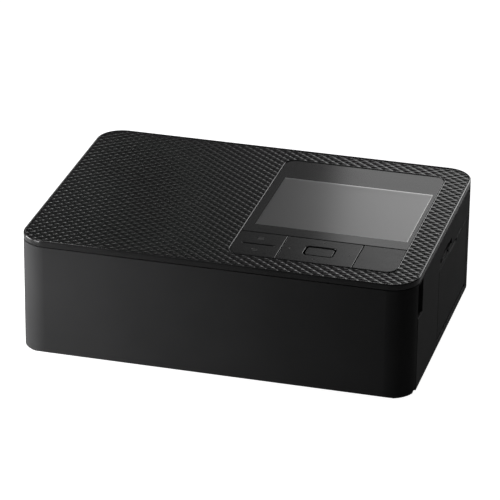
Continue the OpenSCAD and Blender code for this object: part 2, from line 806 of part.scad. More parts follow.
module paper_bed() {
  x1 = plate_left_x + plate_t + 0.4;
  x2 = plate_right_x - 0.4;
  y1 = capstan_y - capstan_r - 3.6;
  y2 = inner_rear_y - snug;
  top = path_z - 0.5;
  cap = capstan_r + 0.6;
  pla = platen_r + 0.6;
  color([0.12, 0.12, 0.12]) difference() {
    along_x(x1, x2) polygon([
      [y1, floor_z + 0.05], [y2, floor_z + 0.05], [y2, top - 1.2], [y2 - 4, top],
      [y1 + 3, top], [y1, top - 5]]);
    // troughs for the capstan and the platen
    block([x1 - 1, capstan_y - cap, capstan_z - cap], [x2 + 1, capstan_y + cap, path_z + 5]);
    block([x1 - 1, platen_y - pla, platen_z - pla], [x2 + 1, platen_y + pla, path_z + 5]);
    // hollow underside
    block([x1 + 2, capstan_y + cap + 1.5, 0], [x2 - 2, platen_y - pla - 1.5, top - 1.5]);
    block([x1 + 2, platen_y + pla + 1.5, 0], [x2 - 2, y2 - 1.5, top - 3]);
  }
}

// Hole for a roller's bush
module bush_hole(x, y, z) {
  bar_x(x - 1, x + plate_t + 1, y, z, shaft_r + 0.9);
}

module chassis_left() {
  x = plate_left_x;
  color("lightgrey") difference() {
    union() {
      block([x, plate_front_y, floor_z], [x + plate_t, rear_stay_y + 2, plate_top]);
      // flange on the case floor and the one under the main board
      block([x - 9, plate_front_y + 8, floor_z], [x + 0.1, plate_front_y + 18, floor_z + plate_t]);
      block([x - 9, rear_stay_y - 14, floor_z], [x + 0.1, rear_stay_y - 4, floor_z + plate_t]);
      block([x - 9, capstan_y - 5, plate_top - 0.1], [x + plate_t, supply_y + 3, board_z]);
      // stub for the reduction gear
      bar_x(bracket_x - plate_t + 0.2, x + 0.1, reduction_at[0], reduction_at[1], stub_r);
    }
    bush_hole(x, capstan_y, capstan_z);
    bush_hole(x, platen_y, platen_z);
    bar_x(x - 1, x + 2, capstan_y, pinch_z, pinch_pin_r + run);
    bar_x(x - 1, x + 2, pickup_at[0], pickup_at[1], shaft_r + run);
    bar_x(x - 1, x + 2, pivot_y, pivot_z, shaft_r + 0.02);
    bar_x(x - 1, x + 2, takeup_y, spool_z, hub_r + run);
  }
}

module chassis_right() {
  x = plate_right_x;
  color("lightgrey") difference() {
    block([x, plate_front_y, floor_z], [x + plate_t, rear_stay_y + 2, plate_top]);
    // way in for the ink cassette, which rests on its edges
    block([x - 1, takeup_y - tube_r - cass_fit, spool_z - tube_r - cass_fit],
          [x + 2, supply_y + tube_r + cass_fit, tube_top + cass_fit]);
    // room for the card reader
    block([x - 1, plate_front_y - 1, tube_top + 1], [x + 2, card_y + socket_w/2 + 2.5, far]);
    bush_hole(x, capstan_y, capstan_z);
    bush_hole(x, platen_y, platen_z);
    bar_x(x - 1, x + 2, capstan_y, pinch_z, pinch_pin_r + run);
    bar_x(x - 1, x + 2, pickup_at[0], pickup_at[1], shaft_r + run);
    bar_x(x - 1, x + 2, pivot_y, pivot_z, shaft_r + 0.02);
  }
}

module front_stay() {
  z = pickup_at[1] + pickup_r + 1;
  color("lightgrey") {
    block([plate_left_x + plate_t, plate_front_y + 1, z],
          [plate_right_x, plate_front_y + 16, z + plate_t]);
    block([plate_left_x + plate_t, plate_front_y + 1, z - 4],
          [plate_right_x, plate_front_y + 1 + plate_t, z + 0.1]);
  }
}

module rear_stay() {
  color("lightgrey") block([plate_left_x + plate_t, rear_stay_y, path_z + 12],
                           [plate_right_x, rear_stay_y + plate_t, plate_top]);
}

module motor_bracket() {
  x = bracket_x;
  color("lightgrey") difference() {
    union() {
      block([x - plate_t, motor_at[0] - motor_r - 1, floor_z + 3],
            [x, ribbon_motor_at[0] + ribbon_motor_r + 7, plate_top - 1]);
      for (p = bracket_posts) bar_x(x - 0.1, plate_left_x, p[0], p[1], 2);
    }
    bar_x(x - 3, x + 1, motor_at[0], motor_at[1], 4.2);
    bar_x(x - 3, x + 1, ribbon_motor_at[0], ribbon_motor_at[1], 3.2);
    bar_x(x - 3, x + 1, reduction_at[0], reduction_at[1], stub_r + run);
  }
}

// ---------------------------------------------------------------- drive

module feed_motor() {
  x = bracket_x - plate_t - 0.05;
  color("silver") {
    bar_x(x - motor_l, x, motor_at[0], motor_at[1], motor_r);
    bar_x(x - 0.1, x + plate_t + 0.6, motor_at[0], motor_at[1], 4);
    bar_x(x, wheel_x, motor_at[0], motor_at[1], 1);
    bar_x(x - motor_l - 1.5, x - motor_l + 0.1, motor_at[0], motor_at[1], 3);
  }
}

module feed_pinion() {
  color("goldenrod")
    gear(pinion_teeth, motor_phase, wheel_x - gear_w + 0.2, wheel_x - 0.2, motor_at, 1 + run);
}

module ribbon_motor() {
  x = bracket_x - plate_t - 0.05;
  color("silver") {
    bar_x(x - ribbon_motor_l, x, ribbon_motor_at[0], ribbon_motor_at[1], ribbon_motor_r);
    bar_x(x - 0.1, x + plate_t + 0.4, ribbon_motor_at[0], ribbon_motor_at[1], 3);
    bar_x(x, gear_x, ribbon_motor_at[0], ribbon_motor_at[1], 1);
  }
}

module ribbon_pinion() {
  color("goldenrod")
    gear(pinion_teeth, ribbon_phase, gear_x - gear_w + 0.2, gear_x - 0.2, ribbon_motor_at, 1 + run);
}

module reduction_gear() {
  color("ivory") difference() {
    union() {
      gear(reduction_teeth, small_phase, wheel_x - gear_w + 0.2, wheel_x - 0.2, reduction_at, 1);
      gear(pinion_teeth, small_phase, gear_x - gear_w, gear_x - 0.2, reduction_at, 1);
      bar_x(wheel_x - 0.3, gear_x - gear_w + 0.1, reduction_at[0], reduction_at[1], 3);
    }
    bar_x(wheel_x - 10, gear_x + 10, reduction_at[0], reduction_at[1], stub_r + run);
  }
}

module takeup_gear() {
  color("ivory") {
    along_x(gear_x - gear_w, gear_x - 0.2) translate(takeup_at) gear_outline(takeup_teeth, 0);
    bar_x(gear_x - 0.3, plate_left_x + plate_t, takeup_y, spool_z, hub_r);
    // blade that turns the take-up spool
    block([plate_left_x + plate_t - 0.1, takeup_y - 2.4, spool_z - 0.6],
          [cass_x1 - 0.3, takeup_y + 2.4, spool_z + 0.6]);
  }
}

module capstan_roller() {
  color("silver") {
    bar_x(paper_x - paper_w/2 - 3, paper_x + paper_w/2 + 3, capstan_y, capstan_z, capstan_r);
    bar_x(gear_x - gear_w, plate_right_x + plate_t + 1, capstan_y, capstan_z, shaft_r);
  }
}

module capstan_gear() {
  color("ivory")
    gear(capstan_teeth, 0, gear_x - gear_w + 0.1, gear_x - 0.1, capstan_at, shaft_r + 0.02);
}

module pinch_roller() {
  color([0.15, 0.15, 0.15]) {
    bar_x(paper_x - paper_w/2 + 2, paper_x + paper_w/2 - 2, capstan_y, pinch_z, pinch_r);
    bar_x(plate_left_x - 0.3, plate_right_x + plate_t + 0.3, capstan_y, pinch_z, pinch_pin_r);
  }
}

module pickup_shaft() {
  color("silver")
    bar_x(gear_x - gear_w, plate_right_x + plate_t + 1, pickup_at[0], pickup_at[1], shaft_r);
}

module pickup_tyres() {
  color([0.12, 0.12, 0.12]) for (x = [-1, 1]) translate([paper_x + x*24, 0, 0]) difference() {
    bar_x(-7, 7, pickup_at[0], pickup_at[1], pickup_r);
    bar_x(-8, 8, pickup_at[0], pickup_at[1], shaft_r + 0.02);
    for (a = [0:60:300]) bar_x(-8, 8, pickup_at[0] + 4.6*cos(a), pickup_at[1] + 4.6*sin(a), 1.2);
  }
}

module pickup_gear() {
  color("ivory")
    gear(pickup_teeth, pickup_phase, gear_x - gear_w + 0.1, gear_x - 0.1, pickup_at, shaft_r + 0.02);
}

module platen_shaft() {
  color("silver")
    bar_x(plate_left_x - 0.6, plate_right_x + plate_t + 1, platen_y, platen_z, shaft_r);
}

module platen_sleeve() {
  color([0.13, 0.13, 0.13]) difference() {
    bar_x(paper_x - paper_w/2 - 3, paper_x + paper_w/2 + 3, platen_y, platen_z, platen_r);
    bar_x(-far, far, platen_y, platen_z, shaft_r + 0.02);
  }
}

module shaft_bushes() {
  color("ivory") for (p = [[capstan_y, capstan_z], [platen_y, platen_z]], s = [0, 1]) {
    x = s ? plate_right_x : plate_left_x;
    difference() {
      union() {
        bar_x(x, x + plate_t, p[0], p[1], shaft_r + 0.88);
        bar_x(s ? x - 0.8 : x + plate_t + 0.02, s ? x - 0.02 : x + plate_t + 0.8, p[0], p[1], bush_r);
        bar_x(s ? x - 0.1 : x + plate_t - 0.1, s ? x + 0.1 : x + plate_t + 0.1, p[0], p[1], shaft_r + 0.88);
      }
      bar_x(x - 2, x + 3, p[0], p[1], shaft_r + run);
    }
  }
}

// ---------------------------------------------------------------- print head

// Turns what is drawn in the printing position up to the rest position
module lifted() {
  translate([0, pivot_y, pivot_z]) rotate([-head_lift, 0, 0]) translate([0, -pivot_y, -pivot_z])
    children();
}

module head_arm() {
  y1 = platen_y - sink_d/2;
  y2 = platen_y + sink_d/2;
  top = pivot_z + 2.4;
  color("lightgrey") lifted() difference() {
    union() {
      block([head_x1 - 3, platen_y + 3, arm_z - plate_t], [head_x2 + 3, pivot_y + 1, arm_z]);
      for (x = [head_x1 - 3, head_x2 + 3 - plate_t])
        along_x(x, x + plate_t) polygon([
          [pivot_y + 2.4, pivot_z - 2.6], [pivot_y + 2.4, top], [pivot_y - 3, top],
          [platen_y + 3, arm_z], [platen_y, sink_top + plate_t], [y1, sink_top + plate_t],
          [y1, sink_top - 8], [y2, sink_top - 8], [y2 + 2, arm_z - plate_t]]);
      block([head_x1 - 3, y1, sink_top], [head_x2 + 3, y2, sink_top + plate_t]);
    }
    bar_x(-far, far, pivot_y, pivot_z, shaft_r + run);
    // lightening holes
    for (i = [0:3])
      block([head_x1 + 8 + i*24, platen_y + 8, arm_z - 3],
            [head_x1 + 22 + i*24, pivot_y - 8, arm_z + 1]);
  }
}

module head_pivot() {
  color("silver")
    bar_x(plate_left_x - 0.6, plate_right_x + plate_t + 0.1, pivot_y, pivot_z, shaft_r);
}

module heat_sink() {
  color("gainsboro") lifted() difference() {
    block([head_x1, platen_y - sink_d/2, head_z + 1.6],
          [head_x2, platen_y + sink_d/2, sink_top - 0.05]);
    // fins
    for (i = [-1:1])
      block([head_x1 - 1, platen_y + i*sink_d/4 - 0.6, head_z + 5],
            [head_x2 + 1, platen_y + i*sink_d/4 + 0.6, sink_top - 2]);
  }
}

module thermal_head() {
  color("white") lifted()
    block([head_x1, platen_y - 3.4, head_z], [head_x2, platen_y + 3.4, head_z + 1.55]);
}

// ---------------------------------------------------------------- ink cassette

module cassette_case() {
  color([0.35, 0.36, 0.38]) difference() {
    union() {
      for (y = [takeup_y, supply_y]) bar_x(cass_x1, cass_x2 - 1.5, y, spool_z, tube_r);
      // bars that join the tubes at both ends, and the grip
      block([cass_x1, takeup_y, spool_z - tube_r], [tube_x1, supply_y, mouth_z + 2.4]);
      block([tube_x2, takeup_y, spool_z - tube_r], [cass_x2 - 1.5, supply_y, tube_top]);
      block([cass_x2 - 1.6, takeup_y - tube_r + 1, spool_z - tube_r + 1],
            [cass_x2, supply_y + tube_r - 1, tube_top - 1]);
    }
    for (y = [takeup_y, supply_y]) {
      bar_x(tube_x1, tube_x2, y, spool_z, tube_r - tube_wall);
      bar_x(cass_x1 - 1, cass_x2 - 2.6, y, spool_z, journal_r + run);
    }
    // mouths that the ribbon runs through
    block([tube_x1, takeup_y + 2, 0], [tube_x2, supply_y + 2.5, spool_z - 3.4]);
    // finger hollow in the grip
    translate([cass_x2 + 5, platen_y, spool_z]) sphere(r=9);
  }
}

// A spool with its journals, its ribbon and the coupler on its left end
module spool(y, roll_r) {
  bar_x(tube_x1 + 0.5, tube_x2 - 0.5, y, spool_z, core_r);
  bar_x(cass_x1 - 0.2, cass_x2 - 2.8, y, spool_z, journal_r);
  bar_x(cass_x1 - coupler_l, cass_x1 - 0.1, y, spool_z, coupler_r);
  bar_x(paper_x - paper_w/2 - 1, paper_x + paper_w/2 + 1, y, spool_z, roll_r);
}

module takeup_spool() {
  color([0.1, 0.1, 0.12]) difference() {
    spool(takeup_y, takeup_roll_r);
    // slot for the drive blade
    block([cass_x1 - 3, takeup_y - 5, spool_z - 0.85], [cass_x1 + 0.4, takeup_y + 5, spool_z + 0.85]);
  }
}

module supply_spool() {
  color([0.1, 0.1, 0.12]) spool(supply_y, supply_roll_r);
}

// Point where a line from p touches the circle of radius r round c, on the given side
function touch(p, c, r, side) =
  let (v = c - p, d = norm(v), a = atan2(v[1], v[0]), b = asin(r/d), l = sqrt(d*d - r*r))
  [p[0] + l*cos(a + side*b), p[1] + l*sin(a + side*b)];

module ink_ribbon() {
  z = mouth_z;
  left = [platen_y - 6, z];
  right = [platen_y + 6, z];
  up = [0, film_t];
  a = touch(left, takeup_at, takeup_roll_r + 0.45, 1);
  b = touch(right, [supply_y, spool_z], supply_roll_r + 0.45, -1);
  color([0.2, 0.1, 0.15]) along_x(paper_x - paper_w/2, paper_x + paper_w/2)
    polygon([a, left, right, b, b + up, right + up, left + up, a + up]);
}

module cassette_catch() {
  y1 = catch_y - catch_w/2;
  color([0.85, 0.35, 0.1]) {
    block([catch_x, y1, catch_low], [catch_x + catch_t, y1 + catch_w, catch_low + 7]);
    block([catch_x + 0.1, y1 + 2, catch_low + 0.6],
          [inner_x - 0.8, y1 + catch_w - 2, catch_low + 2.2]);
  }
}

module catch_guide() {
  y1 = catch_y - catch_w/2;
  x1 = plate_right_x + plate_t + 0.02;
  z1 = tube_top + 1.7;
  color("lightgrey") difference() {
    block([x1, y1 - 1.6, z1], [catch_x + catch_t + 1.2, y1 + catch_w + 1.6, z1 + 3.4]);
    block([catch_x - 0.15, y1 - 0.15, 0], [catch_x + catch_t + 0.15, y1 + catch_w + 0.15, far]);
    // slot that the catch's tab rises into
    block([catch_x + 0.5, y1 + 1.6, 0],
          [inner_x, y1 + catch_w - 1.6, catch_low + 2.2 + catch_travel + 0.2]);
  }
}

// ---------------------------------------------------------------- electronics

module main_board() {
  color([0.05, 0.25, 0.12])
    block([board_x1, board_y1, board_z + 0.05], [board_x2, board_y2, board_z + main_t]);
}

module board_parts() {
  z = board_z + main_t + 0.02;
  color([0.12, 0.12, 0.12]) {
    for (c = chips)
      translate([board_x1 + c[0], board_y1 + c[1], z]) cube([c[2], c[3], c[4]]);
    // capacitors
    for (i = [0:3]) bar_z(z, z + 2.6, board_x1 + 6 + i*9, board_y1 + 76, 3);
  }
}

module card_board() {
  color([0.05, 0.25, 0.12])
    block([inner_x - 32, card_y - socket_w/2 - 2, card_board_z + 0.02],
          [inner_x - 0.6, card_y + socket_w/2 + 2, card_board_z + board_t]);
}

module card_socket() {
  x1 = inner_x - 29;
  x2 = inner_x - 0.4;
  color("silver") difference() {
    block([x1, card_y - socket_w/2, card_z - socket_t/2], [x2, card_y + socket_w/2, card_board_z]);
    block([x1 + 2, card_y - card_w/2 - 0.3, card_z - 1.2],
          [x2 + 1, card_y + card_w/2 + 0.3, card_z + 1.2]);
  }
}

module large_port_socket() {
  z2 = board_z - 0.05;
  z1 = board_z - large_port_h;
  color("silver") difference() {
    block([large_port_x - large_port_w/2, port_y - 14, z1], [large_port_x + large_port_w/2, port_y, z2]);
    difference() {
      block([large_port_x - large_port_w/2 + 0.4, port_y - 12, z1 + 0.4],
            [large_port_x + large_port_w/2 - 0.4, port_y + 1, z2 - 0.4]);
      block([large_port_x - large_port_w/2 + 1.2, port_y - 13, z2 - 2.6],
            [large_port_x + large_port_w/2 - 1.2, port_y - 1, z2 - 0.9]);
    }
  }
}

module small_port_socket() {
  z = board_z - small_port_h/2;
  color("silver") difference() {
    translate([small_port_x, port_y, z]) rotate([90, 0, 0]) linear_extrude(8)
      rounded(small_port_w, small_port_h - 0.1, small_port_h/2 - 0.1);
    difference() {
      translate([small_port_x, port_y + 1, z]) rotate([90, 0, 0]) linear_extrude(7.5)
        rounded(small_port_w - 0.6, small_port_h - 0.7, small_port_h/2 - 0.4);
      block([small_port_x - small_port_w/2 + 1.2, port_y - 8, z - 0.35],
            [small_port_x + small_port_w/2 - 1.2, port_y - 0.6, z + 0.35]);
    }
  }
}

module power_inlet() {
  z = board_z - 5;
  color([0.1, 0.1, 0.1]) difference() {
    union() {
      block([inlet_x - 4.8, port_y - 13, z - 4.6], [inlet_x + 4.8, inner_rear_y - snug, board_z - 0.05]);
      bar_y(inner_rear_y - 1, port_y, inlet_x, z, inlet_r + 1.2);
    }
    difference() {
      bar_y(port_y - 10, port_y + 1, inlet_x, z, inlet_r);
      bar_y(port_y - 11, port_y - 1.5, inlet_x, z, 0.9);
    }
  }
}

// ---------------------------------------------------------------- cooling

module fan_frame() {
  h = fan_size/2;
  color([0.1, 0.1, 0.1]) {
    difference() {
      block([fan_x - h, fan_y, fan_z - h], [fan_x + h, fan_y + fan_t, fan_z + h]);
      bar_y(fan_y - 1, fan_y + fan_t + 1, fan_x, fan_z, fan_hole_r);
      for (x = [-1, 1], z = [-1, 1])
        bar_y(fan_y - 1, fan_y + fan_t + 1, fan_x + x*(h - 2.6), fan_z + z*(h - 2.6), 1.2);
    }
    // spider that carries the motor
    bar_y(fan_y, fan_y + 1.2, fan_x, fan_z, fan_hub_r);
    for (a = [45:90:315]) translate([fan_x, fan_y, fan_z]) rotate([0, a, 0])
      block([4, 0, -0.8], [fan_hole_r + 0.6, 1.2, 0.8]);
    bar_y(fan_y + 1, fan_y + fan_t - 2, fan_x, fan_z, 1);
  }
}

module fan_rotor() {
  color([0.15, 0.15, 0.15]) difference() {
    union() {
      bar_y(fan_y + 1.6, fan_y + fan_t - 0.8, fan_x, fan_z, fan_hub_r);
      for (i = [0:fan_blades - 1]) translate([fan_x, fan_y + fan_t/2 + 0.4, fan_z])
        rotate([0, i*360/fan_blades, 0]) rotate([35, 0, 0])
        block([4.6, -0.4, -2.6], [fan_hole_r - 0.8, 0.4, 2.6]);
    }
    bar_y(fan_y, fan_y + fan_t - 1.6, fan_x, fan_z, 1 + run);
  }
}

bottom_case();
rear_panel();
front_frame();
top_cover();
front_door();
front_door_pins();
ink_door();
ink_door_rod();
rubber_feet();
case_screws();
display_window();
lcd_frame();
lcd_glass();
menu_back_key();
nav_gimbal();
nav_key();
ok_key();
power_key();
keypad_mat();
keypad_board();
paper_bed();
chassis_left();
chassis_right();
front_stay();
rear_stay();
motor_bracket();
feed_motor();
feed_pinion();
reduction_gear();
ribbon_motor();
ribbon_pinion();
takeup_gear();
capstan_roller();
capstan_gear();
pinch_roller();
pickup_shaft();
pickup_tyres();
pickup_gear();
platen_shaft();
platen_sleeve();
shaft_bushes();
head_arm();
head_pivot();
heat_sink();
thermal_head();
cassette_case();
takeup_spool();
supply_spool();
ink_ribbon();
cassette_catch();
catch_guide();
main_board();
board_parts();
card_board();
card_socket();
large_port_socket();
small_port_socket();
power_inlet();
fan_frame();
fan_rotor();
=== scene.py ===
"""Compact photo printer: its textured cover, eased mouldings, key prints, finishes and studio.

Lengths are metres. X is right, Y is back, Z is up, and the origin is on the table under
the middle of the printer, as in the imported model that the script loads.
"""

import json
import math

import bmesh
import bpy
import numpy as np
from bpy.props import FloatProperty, FloatVectorProperty, IntProperty, PointerProperty
from bpy.types import Operator, Panel, PropertyGroup
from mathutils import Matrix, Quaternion, Vector

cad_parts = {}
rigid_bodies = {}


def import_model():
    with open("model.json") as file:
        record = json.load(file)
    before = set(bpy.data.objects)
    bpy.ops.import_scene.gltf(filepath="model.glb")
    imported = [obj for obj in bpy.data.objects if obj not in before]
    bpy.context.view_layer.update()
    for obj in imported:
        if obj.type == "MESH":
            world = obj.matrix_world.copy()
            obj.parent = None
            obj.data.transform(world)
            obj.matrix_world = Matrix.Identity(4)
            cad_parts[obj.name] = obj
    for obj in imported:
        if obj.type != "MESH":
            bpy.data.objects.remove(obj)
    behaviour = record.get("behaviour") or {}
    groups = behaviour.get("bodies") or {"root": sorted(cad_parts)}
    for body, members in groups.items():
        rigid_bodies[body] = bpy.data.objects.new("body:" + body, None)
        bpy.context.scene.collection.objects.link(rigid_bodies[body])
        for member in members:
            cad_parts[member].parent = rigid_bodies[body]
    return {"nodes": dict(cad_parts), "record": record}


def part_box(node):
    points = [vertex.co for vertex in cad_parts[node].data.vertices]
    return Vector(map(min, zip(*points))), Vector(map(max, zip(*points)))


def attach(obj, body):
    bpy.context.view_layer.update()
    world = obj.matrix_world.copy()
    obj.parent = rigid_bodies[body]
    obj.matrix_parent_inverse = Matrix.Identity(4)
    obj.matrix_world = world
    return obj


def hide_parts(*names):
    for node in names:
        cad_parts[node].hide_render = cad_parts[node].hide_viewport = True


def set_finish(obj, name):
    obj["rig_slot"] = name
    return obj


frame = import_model()

bl_info = {
    "name": "Compact photo printer",
    "version": (1, 0, 0),
    "blender": (4, 5, 0),
    "location": "3D View > Sidebar > Printer",
    "description": "Finishes a compact photo printer round its packed model",
    "category": "Object",
}

MM = 0.001
COVER_LOW, COVER_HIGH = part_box("top_cover")
WINDOW_LOW, WINDOW_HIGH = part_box("display_window")
MENU_LOW, MENU_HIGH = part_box("menu_back_key")
NAV_LOW, NAV_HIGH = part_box("nav_key")
RIBBON_LOW, RIBBON_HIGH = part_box("ink_ribbon")
BODY_OF = {
    node: body for body, nodes in frame["record"]["behaviour"]["bodies"].items() for node in nodes
}
SLOT_OF = {part["node"]: part["material_slot"] for part in frame["record"]["subparts"]}

# The window's clear area, by its distances from the left and front edges of the window and
# from its right and rear edges.
VIEW_LOW = WINDOW_LOW.xy + Vector((4.1, 8.2)) * MM
VIEW_HIGH = WINDOW_HIGH.xy - Vector((1.7, 20.7)) * MM

# Each lamp's place, the point that it faces, its width, height, brightness and spread in
# degrees. A grid on a lamp brings its spread under 180.
MIDDLE = (0, 0, COVER_HIGH.z / 2)
LAMPS = {
    "left_softbox": ((-0.30, -0.26, 0.09), (-0.115, -0.025, 0.03), 0.16, 0.2, 2.6, 50),
    "side_softbox": ((-0.42, -0.07, 0.1), (-0.09, -0.06, 0.03), 0.2, 0.2, 20, 180),
    "top_softbox": ((0.1, 0.35, 1.0), MIDDLE, 0.8, 0.8, 0.3, 180),
    "rear_softbox": ((0.204, 0.6, 0.25), (0.204, 0, 0.05), 0.6, 0.33, 1.1, 180),
    "fade_softbox": ((-0.16, 0.6, 0.25), (-0.16, 0, 0.05), 0.12, 0.33, 0.13, 180),
    "edge_softbox": ((0.33, 0.6, 0.2), MIDDLE, 0.25, 0.2, 4, 180),
    "low_softbox": ((0.05, 0.62, 0.08), MIDDLE, 0.24, 0.12, 1, 180),
    "corner_softbox": ((-0.35, 0.62, 0.12), MIDDLE, 0.2, 0.14, 1.5, 180),
}


# ---------------------------------------------------------------- sizes and colours


def length_property(name, description, default):
    """A size that the sidebar shows as a length."""
    return FloatProperty(name=name, description=description, default=default, unit="LENGTH")


def angle_property(name, description, degrees):
    """A turn that the sidebar shows in degrees."""
    return FloatProperty(
        name=name, description=description, default=math.radians(degrees), subtype="ANGLE"
    )


def colour_property(name, description, colour):
    """A colour that the sidebar shows as a swatch."""
    return FloatVectorProperty(
        name=name, description=description, default=colour, subtype="COLOR", min=0, max=1
    )


class CoverSizes(PropertyGroup):
    """Sizes of the textured top cover."""

    corner_radius: length_property("Corner radius", "Radius of the upright corners", 12.5 * MM)
    edge_radius: length_property("Edge radius", "Radius of the top's outer edge", 0.7 * MM)
    rim: length_property("Rim", "Plain rim between texture and outer edge", 0.7 * MM)
    opening_radius: length_property("Opening radius", "Corner radius of the opening", 5 * MM)
    opening_gap: length_property("Opening gap", "Gap between panel and opening", 0.2 * MM)
    lip_radius: length_property("Lip radius", "Radius of the opening's edge", 0.3 * MM)
    pyramid_width: length_property("Pyramid width", "Width from side to side", 5.2 * MM)
    pyramid_depth: length_property("Pyramid depth", "Depth from front to back", 4.26 * MM)
    pyramid_height: length_property("Pyramid height", "Height over the grooves", 0.42 * MM)
    pyramid_round: FloatProperty(
        name="Pyramid rounding",
        description="Share of a pyramid's slope taken by its round tip",
        default=0.12,
        min=0.01,
        max=0.5,
    )
    steps: IntProperty(
        name="Steps",
        description="Mesh steps from a pyramid's tip to its corner",
        default=4,
        min=2,
        max=6,
    )


class EdgeSizes(PropertyGroup):
    """Radii that ease the edges of the mouldings."""

    shell: length_property("Casings", "Edge radius of the casings", 0.3 * MM)
    key: length_property("Keys", "Edge radius of the keys and the window", 0.3 * MM)
    foot: length_property("Feet", "Edge radius of the feet", 0.4 * MM)
    segments: IntProperty(
        name="Segments", description="Segments of each eased edge", default=3, min=1, max=6
    )


class PrintSizes(PropertyGroup):
    """Sizes of the printed symbols on the keys."""

    line: length_property("Line", "Width of a printed line", 0.34 * MM)
    ink: length_property("Ink", "Height of the ink over its key", 0.02 * MM)
    arrow: length_property("Arrow", "Half width of an arrow head", 0.95 * MM)
    inset: length_property("Inset", "From an arrow's tip to the key's edge", 2.6 * MM)


class FinishColours(PropertyGroup):
    """Colours of the finishes, linear."""

    shell: colour_property("Casing", "Black moulded plastic", (0.024, 0.024, 0.0245))
    cover: colour_property("Top cover", "Black textured plastic", (0.012, 0.012, 0.0122))
    gloss: colour_property("Gloss", "Keys, window and display frame", (0.006, 0.006, 0.0062))
    # The display line colour is a painted highlight along the window's clear area.
    line: colour_property("Display line", "Line at the display's edges", (0.42, 0.42, 0.41))
    ink: colour_property("Ink", "Printed symbols", (0.09, 0.09, 0.088))
    rubber: colour_property("Rubber", "Feet, rollers and key mat", (0.022, 0.022, 0.022))
    inner: colour_property("Inner plastic", "Paper bed, fan and inlet", (0.05, 0.05, 0.052))
    display: colour_property("Display", "Panel of the display", (0.1, 0.1, 0.098))
    steel: colour_property("Steel", "Shafts and screws", (0.6, 0.6, 0.6))
    zinc: colour_property("Zinc", "Plated sheet", (0.56, 0.57, 0.58))
    brass: colour_property("Brass", "Motor pinions", (0.76, 0.58, 0.28))
    acetal: colour_property("Acetal", "Gears and bushes", (0.78, 0.77, 0.71))
    aluminium: colour_property("Aluminium", "Heat sink", (0.7, 0.71, 0.72))
    ceramic: colour_property("Ceramic", "Print head", (0.84, 0.83, 0.78))
    cassette: colour_property("Cassette", "Ink cassette", (0.17, 0.18, 0.19))
    catch: colour_property("Catch", "Cassette catch", (0.72, 0.24, 0.045))
    mask: colour_property("Solder mask", "Circuit boards", (0.012, 0.12, 0.05))
    copper: colour_property("Tracks", "Tracks under the solder mask", (0.03, 0.24, 0.1))
    tin: colour_property("Tin", "Solder pads", (0.62, 0.62, 0.6))
    nickel: colour_property("Nickel", "Sockets and motor cases", (0.62, 0.61, 0.59))
    epoxy: colour_property("Epoxy", "Chips", (0.02, 0.02, 0.021))
    yellow: colour_property("Yellow", "Yellow dye panel", (0.75, 0.55, 0.03))
    magenta: colour_property("Magenta", "Magenta dye panel", (0.45, 0.03, 0.16))
    cyan: colour_property("Cyan", "Cyan dye panel", (0.02, 0.22, 0.42))


class StudioSettings(PropertyGroup):
    """Camera, floor and surroundings."""

    azimuth: angle_property("Azimuth", "Camera's turn to the right of the front", 14.82)
    elevation: angle_property("Elevation", "Camera's height angle", 24.961)
    roll: angle_property("Roll", "Camera's turn about its view", 0.701)
    distance: length_property("Distance", "Camera to its target", 1521.4 * MM)
    lens: FloatProperty(
        name="Lens", description="Focal length in millimetres", default=237.57, unit="CAMERA"
    )
    sensor: FloatProperty(
        name="Sensor", description="Sensor width in millimetres", default=36, unit="CAMERA"
    )
    target: FloatVectorProperty(
        name="Target",
        description="Point the camera looks at",
        default=(-0.45 * MM, 0, 34.02 * MM),
        subtype="TRANSLATION",
        unit="LENGTH",
    )
    world: FloatProperty(
        name="Surroundings", description="Strength of the plain grey room", default=0.05
    )
    floor_reach: length_property("Floor's reach", "From the middle to the floor's edges", 12)
    floor: FloatProperty(
        name="Floor", description="Floor's own brightness to the camera", default=0.98
    )
    floor_gloss: FloatProperty(
        name="Floor in gloss", description="Floor's own brightness in reflections", default=0.1
    )


# ---------------------------------------------------------------- shapes


def rounded_rectangle(half_x, half_y, radius, steps=12):
    """Points round a rectangle with round corners, anticlockwise.

    At angle a in a corner of signs (sx, sy) the point is that corner's centre
    (sx (half_x - radius), sy (half_y - radius)) plus radius (cos a, sin a).
    """
    angle = np.linspace(0, math.pi / 2, steps + 1)[None, :] + np.arange(4)[:, None] * math.pi / 2
    sign_x = np.array([1, -1, -1, 1])[:, None]
    sign_y = np.array([1, 1, -1, -1])[:, None]
    x = sign_x * (half_x - radius) + radius * np.cos(angle)
    y = sign_y * (half_y - radius) + radius * np.sin(angle)
    return np.stack([x.ravel(), y.ravel()], -1)


def turned_edge(low, high, radius, profile):
    """A grid of rings round the rounded rectangle between the corners low and high.

    profile is rows of (inset, height): each ring is that rectangle drawn in by its inset, at
    its height. Insets may be negative, which draws the ring out.
    """
    middle = (low + high) / 2
    half = (high - low) / 2
    rings = []
    for inset, height in profile:
        ring = rounded_rectangle(half.x - inset, half.y - inset, radius - inset)
        rings.append(np.column_stack([ring, np.full(len(ring), height)]))
    return np.stack(rings) + np.array([middle.x, middle.y, 0])


def quarter_round(radius, overlap, top, steps=8):
    """Rows of (inset, height) up a quarter circle: inset = c - r cos a, height = h + r sin a.

    The circle's centre lies overlap nearer the edge than r, so that it crosses the upright
    wall and the flat top a little beyond where it would touch them.
    """
    angle = np.linspace(0, math.pi / 2, steps + 1)
    inset = radius - overlap - radius * np.cos(angle)
    height = top - radius + overlap + radius * np.sin(angle)
    return np.column_stack([inset, height])


